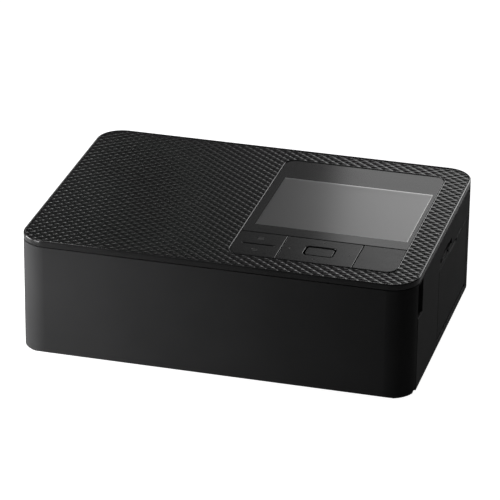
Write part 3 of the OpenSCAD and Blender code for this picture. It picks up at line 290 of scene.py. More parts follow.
def pyramids(x, y, sizes):
    """Depth below the tips at (x, y): height times g(f), with f = 2 max(|u - [u]|, |v - [v]|).

    u and v count pyramids along the two diagonals, [u] is the nearest whole number, and
    g(f) = (sqrt(f f + e e) - e) / (sqrt(1 + e e) - e) rounds the tips by e.
    """
    s = x / (sizes.pyramid_width / 2)
    t = y / (sizes.pyramid_depth / 2)
    u = (s + t) / 2
    v = (s - t) / 2
    f = 2 * np.maximum(np.abs(u - np.round(u)), np.abs(v - np.round(v)))
    e = sizes.pyramid_round
    return sizes.pyramid_height * (np.sqrt(f * f + e * e) - e) / (math.sqrt(1 + e * e) - e)


# ---------------------------------------------------------------- meshes


def linked(name, data):
    """A new object in the scene's own collection."""
    piece = bpy.data.objects.new(name, data)
    bpy.context.scene.collection.objects.link(piece)
    return piece


def mesh_from(name, points, faces):
    """A mesh object from an array of points and a list of faces."""
    mesh = bpy.data.meshes.new(name)
    mesh.from_pydata(np.asarray(points).reshape(-1, 3), [], faces)
    mesh.validate()
    return linked(name, mesh)


def capped_faces(rows, columns):
    """Faces of a closed solid from a grid of rings.

    Quads join neighbouring rings, whose columns close on themselves, and a flat face closes
    the first and the last ring.
    """
    row, column = np.meshgrid(np.arange(rows - 1), np.arange(columns), indexing="ij")
    after = (column + 1) % columns
    corners = [row * columns + column, row * columns + after]
    corners += [(row + 1) * columns + after, (row + 1) * columns + column]
    faces = np.stack(corners, -1).reshape(-1, 4).tolist()
    faces.append(list(range(columns))[::-1])
    faces.append(list(range((rows - 1) * columns, rows * columns)))
    return faces


def capped_rings(name, grid):
    """A closed solid from a grid of rings."""
    return mesh_from(name, grid, capped_faces(*grid.shape[:2]))


def texture_slab(name, low, high, sizes, thickness=2 * MM):
    """A closed slab over the cover whose underside is the pyramids and whose top is flat.

    Grid lines run through tips and corners, so ridges lie on grid lines and grooves on the
    diagonals of the grid, and each square is split along the groove's way.
    """
    step_x = sizes.pyramid_width / 2 / sizes.steps
    step_y = sizes.pyramid_depth / 2 / sizes.steps
    x = np.arange(math.floor(low.x / step_x) - 1, math.ceil(high.x / step_x) + 2) * step_x
    y = np.arange(math.floor(low.y / step_y) - 1, math.ceil(high.y / step_y) + 2) * step_y
    grid_x, grid_y = np.meshgrid(x, y)
    under = np.stack([grid_x, grid_y, high.z - pyramids(grid_x, grid_y, sizes)], -1)
    rows, columns = grid_x.shape
    index = np.arange(rows * columns).reshape(rows, columns)
    squares = (index[:-1, :-1], index[:-1, 1:], index[1:, 1:], index[1:, :-1])
    a, b, c, d = (corner.ravel() for corner in squares)
    middle_x = (grid_x[:-1, :-1] + step_x / 2) / (sizes.pyramid_width / 2)
    middle_y = (grid_y[:-1, :-1] + step_y / 2) / (sizes.pyramid_depth / 2)
    rising = (((np.floor(middle_x) + np.floor(middle_y)) % 2) == 1).ravel()
    first = np.where(rising[:, None], np.stack([a, c, b], -1), np.stack([a, d, b], -1))
    second = np.where(rising[:, None], np.stack([a, d, c], -1), np.stack([b, d, c], -1))

    border = np.concatenate([index[0, :-1], index[:-1, -1], index[-1, :0:-1], index[:0:-1, 0]])
    lid = under.reshape(-1, 3)[border]
    lid[:, 2] = high.z + thickness
    hub = np.array([[(x[0] + x[-1]) / 2, (y[0] + y[-1]) / 2, high.z + thickness]])
    start = rows * columns
    ring = start + np.arange(len(border))
    after = np.roll(ring, -1)
    walls = np.stack([border, np.roll(border, -1), after, ring], -1)
    fan = np.stack([ring, after, np.full(len(ring), start + len(border))], -1)
    points = np.concatenate([under.reshape(-1, 3), lid, hub])
    faces = first.tolist() + second.tolist() + walls.tolist() + fan.tolist()
    return mesh_from(name, points, faces)


def stroke(path, width, low, high):
    """A printed line: the rectangle width by (low to high) carried along a flat path.

    At each point the rectangle's sides stand half a width along the normal, divided by the
    cosine of half the turn there, so the line keeps its width round corners.
    """
    path = np.asarray(path, float)
    ahead = np.diff(path, axis=0)
    ahead = np.vstack([ahead, ahead[-1]])
    ahead /= np.linalg.norm(ahead, axis=1)[:, None]
    behind = np.vstack([ahead[0], ahead[:-1]])
    normal = np.stack([-(ahead + behind)[:, 1], (ahead + behind)[:, 0]], -1)
    normal /= np.linalg.norm(normal, axis=1)[:, None]
    spread = width / 2 / np.abs(normal[:, 1] * ahead[:, 0] - normal[:, 0] * ahead[:, 1])
    left = path + normal * spread[:, None]
    right = path - normal * spread[:, None]
    rings = [
        np.column_stack([side, np.full(len(path), z)])
        for side, z in ((right, low), (left, low), (left, high), (right, high))
    ]
    return np.stack(rings, 1)


def prints(name, paths, sizes):
    """One object from printed lines, each a closed bar sunk in its key by half its height."""
    points = []
    faces = []
    start = 0
    for path in paths:
        grid = stroke(path, sizes.line, NAV_HIGH.z - sizes.ink, NAV_HIGH.z + sizes.ink)
        rows, columns = grid.shape[:2]
        for face in capped_faces(rows, columns):
            faces.append([start + corner for corner in face])
        points.append(grid.reshape(-1, 3))
        start += rows * columns
    piece = mesh_from(name, np.concatenate(points), faces)
    outwards(piece.data)
    return piece


def outwards(mesh):
    """Turns every face of a closed mesh outwards."""
    work = bmesh.new()
    work.from_mesh(mesh)
    bmesh.ops.recalc_face_normals(work, faces=work.faces)
    work.to_mesh(mesh)
    work.free()


def merged_copy(node, name, flat_angle=0.5):
    """A copy of a CAD node's mesh with its loose triangles joined.

    Neighbours that turn by less than flat_angle degrees become one face. At 0 none do.
    """
    mesh = frame["nodes"][node].data.copy()
    mesh.name = name
    work = bmesh.new()
    work.from_mesh(mesh)
    bmesh.ops.remove_doubles(work, verts=work.verts, dist=0.001 * MM)
    if flat_angle:
        bmesh.ops.dissolve_limit(
            work, angle_limit=math.radians(flat_angle), verts=work.verts, edges=work.edges
        )
    work.to_mesh(mesh)
    work.free()
    return linked(name, mesh)


def settle(piece, sharp_angle):
    """Applies a piece's modifiers, then shades it smooth up to sharp_angle degrees."""
    depsgraph = bpy.context.evaluated_depsgraph_get()
    mesh = bpy.data.meshes.new_from_object(piece.evaluated_get(depsgraph))
    old = piece.data
    piece.modifiers.clear()
    piece.data = mesh
    mesh.name = piece.name
    bpy.data.meshes.remove(old)
    mesh.shade_smooth()
    mesh.set_sharp_from_angle(angle=math.radians(sharp_angle))


def cut(piece, tool, operation):
    """Adds a Boolean of a closed tool to a piece."""
    boolean = piece.modifiers.new(operation.title(), "BOOLEAN")
    boolean.operation = operation
    boolean.solver = "MANIFOLD"
    boolean.object = tool


def discard(*tools):
    """Removes the solids that only shaped others."""
    for tool in tools:
        mesh = tool.data
        bpy.data.objects.remove(tool)
        bpy.data.meshes.remove(mesh)


def stand_for(piece, node):
    """Lets a finished piece stand for a CAD node and ride on that node's body."""
    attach(piece, BODY_OF[node])
    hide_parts(node)
    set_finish(piece, SLOT_OF[node])


# ---------------------------------------------------------------- shader expressions


class Value:
    """A shader socket in a Python expression: each operator adds its Math node."""

    def __init__(self, finish, socket):
        self.finish = finish
        self.socket = socket

    def maths(self, operation, *operands):
        sockets = dict(enumerate(operands))
        return self.finish.add("ShaderNodeMath", {"operation": operation}, sockets)

    def __add__(self, other):
        return self.maths("ADD", self, other)

    def __sub__(self, other):
        return self.maths("SUBTRACT", self, other)

    def __rsub__(self, other):
        return self.maths("SUBTRACT", other, self)

    def __mul__(self, other):
        return self.maths("MULTIPLY", self, other)

    def __truediv__(self, other):
        return self.maths("DIVIDE", self, other)

    def __gt__(self, other):
        return self.maths("GREATER_THAN", self, other)

    def __lt__(self, other):
        return self.maths("LESS_THAN", self, other)

    __radd__ = __add__
    __rmul__ = __mul__

    def fraction(self):
        return self.maths("FRACT", self)

    def size(self):
        return self.maths("ABSOLUTE", self)

    def most(self, other):
        return self.maths("MAXIMUM", self, other)


class Finish:
    """One material, or the room when its tree is given: the nodes that make its look."""

    def __init__(self, name, tree=None):
        self.material = None
        if tree is None:
            self.material = bpy.data.materials.new(name)
            self.material.use_nodes = True
            tree = self.material.node_tree
        self.tree = tree
        tree.nodes.clear()
        self.shader = None

    def add(self, kind, settings=None, sockets=None, out=0):
        """Adds a node: its settings first, then its sockets' values or links."""
        node = self.tree.nodes.new(kind)
        for key, value in (settings or {}).items():
            setattr(node, key, value)
        for key, value in (sockets or {}).items():
            self.feed(node.inputs[key], value)
        return Value(self, node.outputs[out]) if len(node.outputs) else node

    def feed(self, socket, value):
        """Links a socket, or sets its value."""
        if isinstance(value, Value):
            self.tree.links.new(value.socket, socket)
        elif hasattr(socket.default_value, "__len__") and len(socket.default_value) == 4:
            socket.default_value = tuple(value)[:3] + (1,)
        else:
            socket.default_value = value

    def principled(self, colour, roughness, **uniform):
        """Starts the finish with a Principled shader; other sockets are named in words."""
        sockets = {"Base Color": colour, "Roughness": roughness}
        for key, value in uniform.items():
            sockets[key.replace("_", " ").title().replace("Ior", "IOR")] = value
        self.shader = self.add("ShaderNodeBsdfPrincipled", None, sockets)
        self.add("ShaderNodeOutputMaterial", None, {"Surface": self.shader})

    def set(self, socket, value):
        """Feeds one socket of the Principled shader."""
        self.feed(self.shader.socket.node.inputs[socket], value)

    def place(self, scale=None):
        """Object coordinates, stretched by scale where one is given."""
        at = self.add("ShaderNodeTexCoord", None, None, "Object")
        if scale is None:
            return at
        return self.add("ShaderNodeMapping", None, {"Vector": at, "Scale": scale})

    def across(self):
        """The object coordinates x and y, as two numbers."""
        split = self.add("ShaderNodeSeparateXYZ", None, {0: self.place()})
        return [Value(self, socket) for socket in split.socket.node.outputs[:2]]

    def noise(self, grain, detail, place=None):
        """Noise whose spots are about grain metres across."""
        sockets = {"Vector": place or self.place(), "Scale": 1 / grain, "Detail": detail}
        return self.add("ShaderNodeTexNoise", None, sockets)

    def range(self, value, low, high):
        """Maps 0..1 to low..high."""
        return value * (high - low) + low

    def mix(self, factor, first, second):
        """Mixes two colours."""
        sockets = {0: factor, 6: first, 7: second}
        return self.add("ShaderNodeMix", {"data_type": "RGBA"}, sockets, 2)

    def tones(self, pattern, colour, dark, light):
        """A colour that goes from dark times itself to light times itself over a pattern."""
        return self.mix(pattern, shade(colour, dark), shade(colour, light))

    def bump(self, height, depth, strength):
        """Bumps the surface by depth metres."""
        sockets = {"Height": height, "Distance": depth, "Strength": strength}
        self.set("Normal", self.add("ShaderNodeBump", None, sockets))


def shade(colour, factor):
    """A colour made lighter or darker, in plain numbers."""
    return tuple(min(1, c * factor) for c in colour)


# ---------------------------------------------------------------- finishes


def moulded_black(name, colour, roughness, specular):
    """Spark-eroded black plastic: fine grain, a faint mottle, and rougher and smoother spots."""
    finish = Finish(name)
    cloud = finish.noise(22 * MM, detail=3)
    speck = finish.noise(0.25 * MM, detail=2)
    tone = finish.tones(cloud, colour, 0.85, 1.18)
    rough = finish.range(cloud, roughness - 0.05, roughness + 0.05)
    finish.principled(tone, rough, specular_ior_level=specular)
    finish.bump(speck, depth=0.012 * MM, strength=0.6)
    return finish.material


def matt_plastic(name, colour, roughness=0.55, grain=0.4 * MM):
    """Plain matt moulding with a fine grain and a little unevenness of tone."""
    finish = Finish(name)
    cloud = finish.noise(9 * MM, detail=2)
    speck = finish.noise(grain, detail=2)
    tone = finish.tones(cloud, colour, 0.88, 1.1)
    finish.principled(tone, finish.range(cloud, roughness - 0.07, roughness + 0.07))
    finish.bump(speck, depth=0.015 * MM, strength=0.5)
    return finish.material


def gloss_black(name, colour, roughness):
    """Polished black plastic with faint smears and the softest ripple."""
    finish = Finish(name)
    smear = finish.noise(14 * MM, detail=4, place=finish.place((1, 3, 1)))
    tone = finish.tones(smear, colour, 0.9, 1.15)
    rough = finish.range(smear, roughness - 0.03, roughness + 0.04)
    finish.principled(tone, rough, specular_ior_level=0.34)
    finish.bump(finish.noise(8 * MM, detail=1), depth=0.01 * MM, strength=0.3)
    return finish.material


def rubber(name, colour):
    """Matt rubber: fine pores, and a dusty bloom in patches."""
    finish = Finish(name)
    bloom = finish.noise(5 * MM, detail=3)
    pores = finish.noise(0.35 * MM, detail=3)
    tone = finish.tones(bloom, colour, 0.8, 1.5)
    finish.principled(tone, finish.range(bloom, 0.78, 0.92), specular_ior_level=0.3)
    finish.bump(pores, depth=0.03 * MM, strength=0.6)
    return finish.material


def drawn_metal(name, colour, roughness, stretch):
    """Metal with fine lines: noise stretched along the lines changes gloss and tone."""
    finish = Finish(name)
    lines = finish.noise(0.15 * MM, detail=2, place=finish.place(stretch))
    cloud = finish.noise(12 * MM, detail=2)
    tone = finish.tones(lines, colour, 0.86, 1.08)
    rough = finish.range(lines * 0.6 + cloud * 0.4, roughness - 0.08, roughness + 0.1)
    finish.principled(tone, rough, metallic=1.0)
    finish.bump(lines, depth=0.004 * MM, strength=0.5)
    return finish.material


def zinc_sheet(name, colour):
    """Plated sheet: flat crystals of slightly different tone and gloss."""
    finish = Finish(name)
    crystal_size = 3.5 * MM
    sockets = {"Vector": finish.place(), "Scale": 1 / crystal_size}
    crystals = finish.add("ShaderNodeTexVoronoi", {"feature": "F1"}, sockets, "Color")
    crystal = finish.add("ShaderNodeSeparateColor", None, {0: crystals})
    tone = finish.tones(crystal, colour, 0.82, 1.12)
    finish.principled(tone, finish.range(crystal, 0.3, 0.46), metallic=1.0)
    finish.bump(finish.noise(0.5 * MM, detail=2), depth=0.004 * MM, strength=0.5)
    return finish.material


def circuit_board(name, mask, track, tin):
    """Solder mask over tracks that run in lanes, broken at random, with rows of tinned pads.

    Lanes are 1.27 mm apart, in X or in Y by a coarse noise, and a track fills twice half_track
    of its lane. Pads are dots on every second lane, 0.56 mm across, kept where a second noise
    is high: dot is the square of a dot's radius as a share of their spacing.
    """
    finish = Finish(name)
    x, y = finish.across()
    lane = 1.27 * MM
    half_track = 0.17
    dot = 0.012
    choice = finish.noise(9 * MM, detail=0) > 0.5
    across = ((x / lane).fraction() - 0.5).size() < half_track
    along = ((y / lane).fraction() - 0.5).size() < half_track
    tracks = across * choice + along * (1 - choice)
    tracks = tracks * (finish.noise(5 * MM, detail=1) > 0.47)
    dot_x = ((x / (2 * lane)).fraction() - 0.5).size()
    dot_y = ((y / (2 * lane)).fraction() - 0.5).size()
    pads = ((dot_x * dot_x + dot_y * dot_y) < dot) * (finish.noise(6 * MM, detail=0) > 0.58)
    green = finish.mix(tracks, mask, track)
    finish.principled(finish.mix(pads, green, tin), finish.range(pads, 0.28, 0.4))
    finish.set("Metallic", pads)
    finish.bump(tracks.most(pads), depth=0.03 * MM, strength=0.8)
    return finish.material


def ribbon_film(name, colours, low, high):
    """Dye film: yellow, magenta and cyan panels from front to back, a dark bar at each change."""
    finish = Finish(name)
    y = finish.across()[1]
    along = (y - low.y) / (high.y - low.y)
    yellow, magenta, cyan = colours
    first_change, second_change = 0.36, 0.7
    half_bar = 0.012
    front = finish.mix(along > first_change, yellow, magenta)
    panels = finish.mix(along > second_change, front, cyan)
    first_bar = (along - first_change).size() < half_bar
    second_bar = (along - second_change).size() < half_bar
    bars = (first_bar + second_bar) > 0.5
    crease = finish.noise(6 * MM, detail=2, place=finish.place((0.2, 1, 1)))
    tone = finish.mix(bars, panels, (0.004, 0.004, 0.004))
    finish.principled(tone, finish.range(crease, 0.16, 0.34))
    finish.bump(crease, depth=0.05 * MM, strength=0.4)
    return finish.material


def display_panel(name, colour):
    """The display's satin face, a little uneven."""
    finish = Finish(name)
    cloud = finish.noise(30 * MM, detail=1)
    finish.principled(finish.tones(cloud, colour, 0.94, 1.06), finish.range(cloud, 0.2, 0.24))
    return finish.material


def smoked_window(name, colour, line, low, high, alpha):
    """Polished black pane with faint smears, smoke clear over the display between low and high.

    The clear area covers what is under it by alpha. It has a second gloss layer, and a painted
    highlight: a thin bright metallic line along its right and its rear edge.
    """
    finish = Finish(name)
    x, y = finish.across()
    middle = (low + high) / 2
    half = (high - low) / 2
    # Widths of the painted highlight along the clear area's right and rear edges.
    right_highlight = 0.25 * MM
    rear_highlight = 0.8 * MM
    clear = ((x - middle.x).size() < half.x) * ((y - middle.y).size() < half.y)
    # edge masks the painted highlight: a thin bright metallic line standing in for light caught
    # by the display's edges.
    edge = clear * (((x > high.x - right_highlight) + (y > high.y - rear_highlight)) > 0.5)
    smear = finish.noise(18 * MM, detail=4, place=finish.place((1, 3, 1)))
    tone = finish.mix(edge, finish.tones(smear, colour, 0.9, 1.15), line)
    finish.principled(tone, finish.range(smear, 0.13, 0.19), coat_roughness=0.3, coat_ior=2.4)
    finish.set("Metallic", edge)
    finish.set("Coat Weight", clear)
    finish.set("Alpha", 1 - (clear - edge) * (1 - alpha))
    return finish.material


def printed_ink(name, colour):
    """Pad-printed ink: a little uneven in tone and gloss."""
    finish = Finish(name)
    patch = finish.noise(0.6 * MM, detail=2)
    finish.principled(finish.tones(patch, colour, 0.85, 1.1), finish.range(patch, 0.4, 0.55))
    return finish.material


def glazed_ceramic(name, colour):
    """Glazed ceramic: a clear coat over a tone that clouds a little, with a soft ripple."""
    finish = Finish(name)
    cloud = finish.noise(7 * MM, detail=2)
    tone = finish.tones(cloud, colour, 0.92, 1)
    finish.principled(tone, finish.range(cloud, 0.12, 0.2), coat_weight=0.6)
    finish.bump(finish.noise(2 * MM, detail=2), depth=0.01 * MM, strength=0.3)
    return finish.material


def slot_finishes(colours):
    """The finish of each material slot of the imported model."""
    dyes = (colours.yellow, colours.magenta, colours.cyan)
    return {
        "black_shell": moulded_black("black_shell_finish", colours.shell, 0.6, 0.1),
        "textured": moulded_black("textured_black_finish", colours.cover, 0.17, 0.36),
        "rubber": rubber("rubber_finish", colours.rubber),
        "steel": drawn_metal("ground_steel_finish", colours.steel, 0.26, (8, 1, 1)),
        # The window's display line colour is a painted highlight along the display's edges.
        "window": smoked_window(
            "smoked_window_finish", colours.gloss, colours.line, VIEW_LOW, VIEW_HIGH, alpha=0.8
        ),
        "lcd_metal": matt_plastic("display_frame_finish", colours.gloss, 0.5),
        "lcd_panel": display_panel("display_panel_finish", colours.display),
        "key_plastic": gloss_black("gloss_black_finish", colours.gloss, 0.24),
        "board": circuit_board(
            "circuit_board_finish", colours.mask, colours.copper, colours.tin
        ),
        "inner_plastic": matt_plastic("inner_plastic_finish", colours.inner),
        "sheet_steel": zinc_sheet("zinc_sheet_finish", colours.zinc),
        "motor_case": drawn_metal("motor_case_finish", colours.nickel, 0.32, (6, 1, 1)),
        "brass": drawn_metal("brass_finish", colours.brass, 0.28, (6, 1, 1)),
        "white_plastic": matt_plastic("acetal_finish", colours.acetal, 0.38, 0.8 * MM),
        "heat_sink": drawn_metal("aluminium_finish", colours.aluminium, 0.36, (0.08, 1, 1)),
        "ceramic": glazed_ceramic("ceramic_finish", colours.ceramic),
        "cassette_grey": matt_plastic("cassette_finish", colours.cassette, 0.5),
        "ribbon_film": ribbon_film("dye_film_finish", dyes, RIBBON_LOW, RIBBON_HIGH),
        "catch_orange": matt_plastic("catch_finish", colours.catch, 0.45),
        "chips": matt_plastic("epoxy_finish", colours.epoxy, 0.5, 0.2 * MM),
        "ink": printed_ink("key_ink_finish", colours.ink),
        "socket_metal": drawn_metal("nickel_finish", colours.nickel, 0.24, (1, 0.15, 1)),
    }


# ---------------------------------------------------------------- operators


class PRINTER_OT_textured_cover(Operator):
    """Makes the top cover: pyramids over its top, a round outer edge and a lip round the panel"""

    bl_idname = "printer.textured_cover"
    bl_label = "Textured cover"

    def execute(self, context):
        sizes = context.scene.printer_cover
        top = COVER_HIGH.z
        hair = 0.03 * MM  # how far a round laps over the wall and the top that it joins
        past = 1 * MM  # how far a cutting solid reaches past what it cuts
        gap = sizes.opening_gap
        open_low = Vector((MENU_LOW.x - gap, MENU_LOW.y - gap))
        open_high = Vector((WINDOW_HIGH.x + gap, WINDOW_HIGH.y + gap))

        def cover_tool(name, profile):
            edge = turned_edge(COVER_LOW, COVER_HIGH, sizes.corner_radius, profile)
            return capped_rings(name, edge)

        def opening_tool(name, profile):
            edge = turned_edge(open_low, open_high, sizes.opening_radius, profile)
            return capped_rings(name, edge)

        round_edge = quarter_round(sizes.edge_radius, hair, top)
        rounded = cover_tool("edge_tool", np.vstack([[-hair, COVER_LOW.z - past], round_edge]))
        rim = [[sizes.rim, top - past], [sizes.rim, top + past]]
        field = cover_tool("field_tool", rim)
        plain = sizes.lip_radius + hair
        around = [[-plain, top - 1.5 * past], [-plain, top + 1.5 * past]]
        island = opening_tool("island_tool", around)
        flare = quarter_round(sizes.lip_radius, hair / 2, top)
        flare[:, 0] *= -1
        flare = np.vstack([[hair / 2, top - 0.8 * past], flare, [flare[-1, 0], top + past]])
        lip = opening_tool("lip_tool", flare)
        slab = texture_slab("texture_tool", COVER_LOW, COVER_HIGH, sizes)
        for tool in (rounded, field, island, lip, slab):
            outwards(tool.data)
        cut(slab, field, "INTERSECT")
        cut(slab, island, "DIFFERENCE")
        settle(slab, sharp_angle=30)

        cover = merged_copy("top_cover", "textured_cover", 0)
        cut(cover, rounded, "INTERSECT")
        cut(cover, slab, "DIFFERENCE")
        cut(cover, lip, "DIFFERENCE")
        settle(cover, sharp_angle=32)
        discard(rounded, field, island, lip, slab)
        stand_for(cover, "top_cover")
        return {"FINISHED"}


def ease(node, width, segments):
    """A copy of a CAD node with its edges rounded by width, standing for that node."""
    piece = merged_copy(node, node + "_eased")
    bevel = piece.modifiers.new("Eased edges", "BEVEL")
    bevel.width = width
    bevel.segments = segments
    bevel.limit_method = "ANGLE"
    bevel.angle_limit = math.radians(40)
    bevel.use_clamp_overlap = False
    settle(piece, sharp_angle=32)
    flats = piece.modifiers.new("Flat faces", "WEIGHTED_NORMAL")
    flats.keep_sharp = True
    flats.weight = 100
    stand_for(piece, node)


class PRINTER_OT_eased_casings(Operator):
    """Rounds the edges of the casings, the ink door and the feet"""

    bl_idname = "printer.eased_casings"
    bl_label = "Eased casings"

    def execute(self, context):
        sizes = context.scene.printer_edges
        for node in ("bottom_case", "rear_panel", "ink_door"):
            ease(node, sizes.shell, sizes.segments)
        ease("rubber_feet", sizes.foot, sizes.segments)
        return {"FINISHED"}


class PRINTER_OT_eased_keys(Operator):
    """Rounds the edges of the keys and the display window"""

    bl_idname = "printer.eased_keys"
    bl_label = "Eased keys"

    def execute(self, context):
        sizes = context.scene.printer_edges
        for node in ("menu_back_key", "nav_key", "ok_key", "power_key", "display_window"):
            ease(node, sizes.key, sizes.segments)
        return {"FINISHED"}


class PRINTER_OT_key_prints(Operator):
    """Prints arrows on the four-way key, and a list and a return arrow on the menu key"""

    bl_idname = "printer.key_prints"
    bl_label = "Key prints"

    def execute(self, context):
        sizes = context.scene.printer_prints
        piece = prints("arrow_prints", self.arrows(sizes), sizes)
        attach(piece, "nav_key")
        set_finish(piece, "key_plastic")
        piece = prints("menu_prints", self.bars(sizes) + self.return_arrow(sizes), sizes)
        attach(piece, "menu_back_key")
        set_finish(piece, "key_plastic")
        return {"FINISHED"}

    def arrows(self, sizes):
        """Four arrow heads: one is moved out by its reach, then turned round the key's middle."""
        centre = (NAV_LOW + NAV_HIGH) / 2
        reach_x = (NAV_HIGH.x - NAV_LOW.x) / 2 - sizes.inset - sizes.arrow
        reach_y = (NAV_HIGH.y - NAV_LOW.y) / 2 - sizes.inset
        head = np.array([[-0.5, -1], [0.5, 0], [-0.5, 1]]) * sizes.arrow
        paths = []
        for turn, reach in enumerate((reach_x, reach_y, reach_x, reach_y)):
            c, s = math.cos(turn * math.pi / 2), math.sin(turn * math.pi / 2)
            turned = (head + [reach, 0]) @ np.array([[c, s], [-s, c]])
            paths.append(turned + [centre.x, centre.y])
        return paths

    def bars(self, sizes):
        """Three level bars in the middle of the menu key's rear half."""
        centre = (MENU_LOW + MENU_HIGH) / 2
        quarter = (MENU_HIGH.y - MENU_LOW.y) / 4
        half_bar = sizes.arrow * 1.5
        paths = []
        for row in (-1, 0, 1):
            y = centre.y + quarter + row * sizes.arrow * 0.8
            paths.append([[centre.x - half_bar, y], [centre.x + half_bar, y]])
        return paths

    def return_arrow(self, sizes):
        """A hook and its tip in the middle of the menu key's front half.

        The hook is a half circle of radius bow at the right ends of two level lines.
        """
        centre = (MENU_LOW + MENU_HIGH) / 2
        quarter = (MENU_HIGH.y - MENU_LOW.y) / 4
        half_bar = sizes.arrow * 1.5
        bow = sizes.arrow * 0.75
        bend = np.linspace(math.pi / 2, -math.pi / 2, 9)
        hook = np.column_stack([half_bar * 0.5 + bow * np.cos(bend), bow * np.sin(bend)])
        hook = np.vstack([[-half_bar, bow], hook, [-half_bar * 0.4, -bow]])
        tip = np.array([[0.6, 0.6], [0, 0], [0.6, -0.6]]) * sizes.arrow + [-half_bar, bow]
        front = [centre.x, centre.y - quarter]
        return [hook + front, tip + front]


class PRINTER_OT_finishes(Operator):
    """Gives every node and piece its finish, by its material slot"""

    bl_idname = "printer.finishes"
    bl_label = "Finishes"

    def execute(self, context):
        finishes = slot_finishes(context.scene.printer_colours)
        dressed = {frame["nodes"][node]: finishes[slot] for node, slot in SLOT_OF.items()}
        own = {"textured_cover": "textured", "arrow_prints": "ink", "menu_prints": "ink"}
        for piece in context.scene.objects:
            if piece.type == "MESH" and "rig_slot" in piece:
                dressed[piece] = finishes[own.get(piece.name, piece["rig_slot"])]
        for piece, material in dressed.items():
            if not piece.material_slots:
                piece.data.materials.append(None)
            for slot in piece.material_slots:
                slot.material = material
        return {"FINISHED"}


def softbox(name, place, target, width, height, brightness, spread):
    """A soft area lamp at place that faces target, its light kept within spread degrees.

    Its power is pi times brightness times its area.
    """
    lamp = bpy.data.lights.new(name, "AREA")
    lamp.shape = "RECTANGLE"
    lamp.size = width
    lamp.size_y = height
    lamp.spread = math.radians(spread)
    lamp.energy = brightness * math.pi * width * height
    piece = linked(name, lamp)
    piece.location = place
    piece.rotation_mode = "QUATERNION"
    piece.rotation_quaternion = (Vector(target) - Vector(place)).to_track_quat("-Z", "Y")
    piece.visible_camera = False


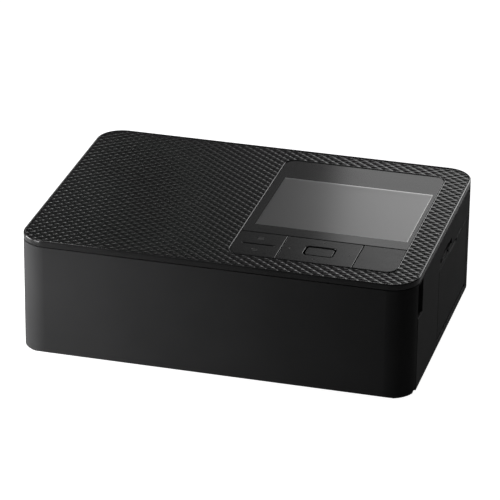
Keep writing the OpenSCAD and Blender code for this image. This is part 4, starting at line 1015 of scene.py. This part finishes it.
class PRINTER_OT_studio(Operator):
    """Sets up the camera, the pale floor, the lamps and the plain room"""

    bl_idname = "printer.studio"
    bl_label = "Studio"

    def execute(self, context):
        settings = context.scene.printer_studio
        self.camera(context, settings)
        self.floor(settings)
        self.room(context, settings)
        for name, lamp in LAMPS.items():
            softbox(name, *lamp)
        context.scene.view_settings.view_transform = "Standard"
        return {"FINISHED"}

    def camera(self, context, settings):
        """Puts the camera at the photograph's angle."""
        level = math.cos(settings.elevation)
        back = Vector(
            (
                math.sin(settings.azimuth) * level,
                -math.cos(settings.azimuth) * level,
                math.sin(settings.elevation),
            )
        )
        lens = bpy.data.cameras.new("camera")
        lens.lens = settings.lens
        lens.sensor_width = settings.sensor
        lens.clip_start = 50 * MM
        camera = linked("camera", lens)
        camera.location = Vector(settings.target) + back * settings.distance
        camera.rotation_mode = "QUATERNION"
        roll = Quaternion((0, 0, 1), settings.roll)
        camera.rotation_quaternion = (-back).to_track_quat("-Z", "Y") @ roll
        context.scene.camera = camera

    def floor(self, settings):
        """A pale floor that stays white to the camera and still takes the printer's shadow."""
        reach = settings.floor_reach
        corners = [[-reach, -reach, 0], [reach, -reach, 0], [reach, reach, 0], [-reach, reach, 0]]
        piece = mesh_from("floor", corners, [[0, 1, 2, 3]])
        finish = Finish("floor_finish")
        path = finish.add("ShaderNodeLightPath")
        rays = {s.name: Value(finish, s) for s in path.socket.node.outputs}
        seen = rays["Is Camera Ray"].most(rays["Is Transmission Ray"]) * settings.floor
        seen = seen.most(rays["Is Glossy Ray"] * settings.floor_gloss)
        tone = finish.tones(finish.noise(0.3, detail=2), (1, 1, 1), 0.38, 0.4)
        matt = finish.add("ShaderNodeBsdfDiffuse", None, {"Color": tone})
        glow = finish.add("ShaderNodeEmission", None, {"Color": (1, 1, 1), "Strength": seen})
        lit = finish.add("ShaderNodeAddShader", None, {0: matt, 1: glow})
        under = finish.add("ShaderNodeNewGeometry", None, None, "Backfacing")
        clear = finish.add("ShaderNodeBsdfTransparent")
        both = finish.add("ShaderNodeMixShader", None, {0: under, 1: lit, 2: clear})
        finish.add("ShaderNodeOutputMaterial", None, {"Surface": both})
        piece.data.materials.append(finish.material)

    def room(self, context, settings):
        """A plain grey room that lights the printer evenly from all round."""
        world = bpy.data.worlds.new("room")
        context.scene.world = world
        world.use_nodes = True
        finish = Finish("room", world.node_tree)
        light = {"Color": (1, 1, 1), "Strength": settings.world}
        sky = finish.add("ShaderNodeBackground", None, light)
        finish.add("ShaderNodeOutputWorld", None, {"Surface": sky})


class PRINTER_PT_sidebar(Panel):
    """Lists the printer's pieces and their settings in the sidebar"""

    bl_idname = "PRINTER_PT_sidebar"
    bl_label = "Compact photo printer"
    bl_space_type = "VIEW_3D"
    bl_region_type = "UI"
    bl_category = "Printer"

    def draw(self, context):
        for maker in MAKERS:
            self.layout.operator(maker.bl_idname)
        for group in GROUPS:
            settings = getattr(context.scene, group)
            box = self.layout.box()
            for name in settings.bl_rna.properties.keys():
                if name not in ("rna_type", "name"):
                    box.prop(settings, name)


GROUPS = {
    "printer_cover": CoverSizes,
    "printer_edges": EdgeSizes,
    "printer_prints": PrintSizes,
    "printer_colours": FinishColours,
    "printer_studio": StudioSettings,
}
MAKERS = (
    PRINTER_OT_studio,
    PRINTER_OT_textured_cover,
    PRINTER_OT_eased_casings,
    PRINTER_OT_eased_keys,
    PRINTER_OT_key_prints,
    PRINTER_OT_finishes,
)


def register():
    """Adds the classes, and one group of settings of each kind to the scene."""
    for kind in (*GROUPS.values(), *MAKERS, PRINTER_PT_sidebar):
        bpy.utils.register_class(kind)
    for name, group in GROUPS.items():
        setattr(bpy.types.Scene, name, PointerProperty(type=group))


def unregister():
    """Takes them away again."""
    for name in GROUPS:
        delattr(bpy.types.Scene, name)
    for kind in (PRINTER_PT_sidebar, *MAKERS, *GROUPS.values()):
        bpy.utils.unregister_class(kind)


def main():
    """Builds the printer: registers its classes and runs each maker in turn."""
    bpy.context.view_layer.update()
    register()
    for maker in MAKERS:
        group, name = maker.bl_idname.split(".")
        getattr(getattr(bpy.ops, group), name)()


if __name__ == "__main__":
    main()
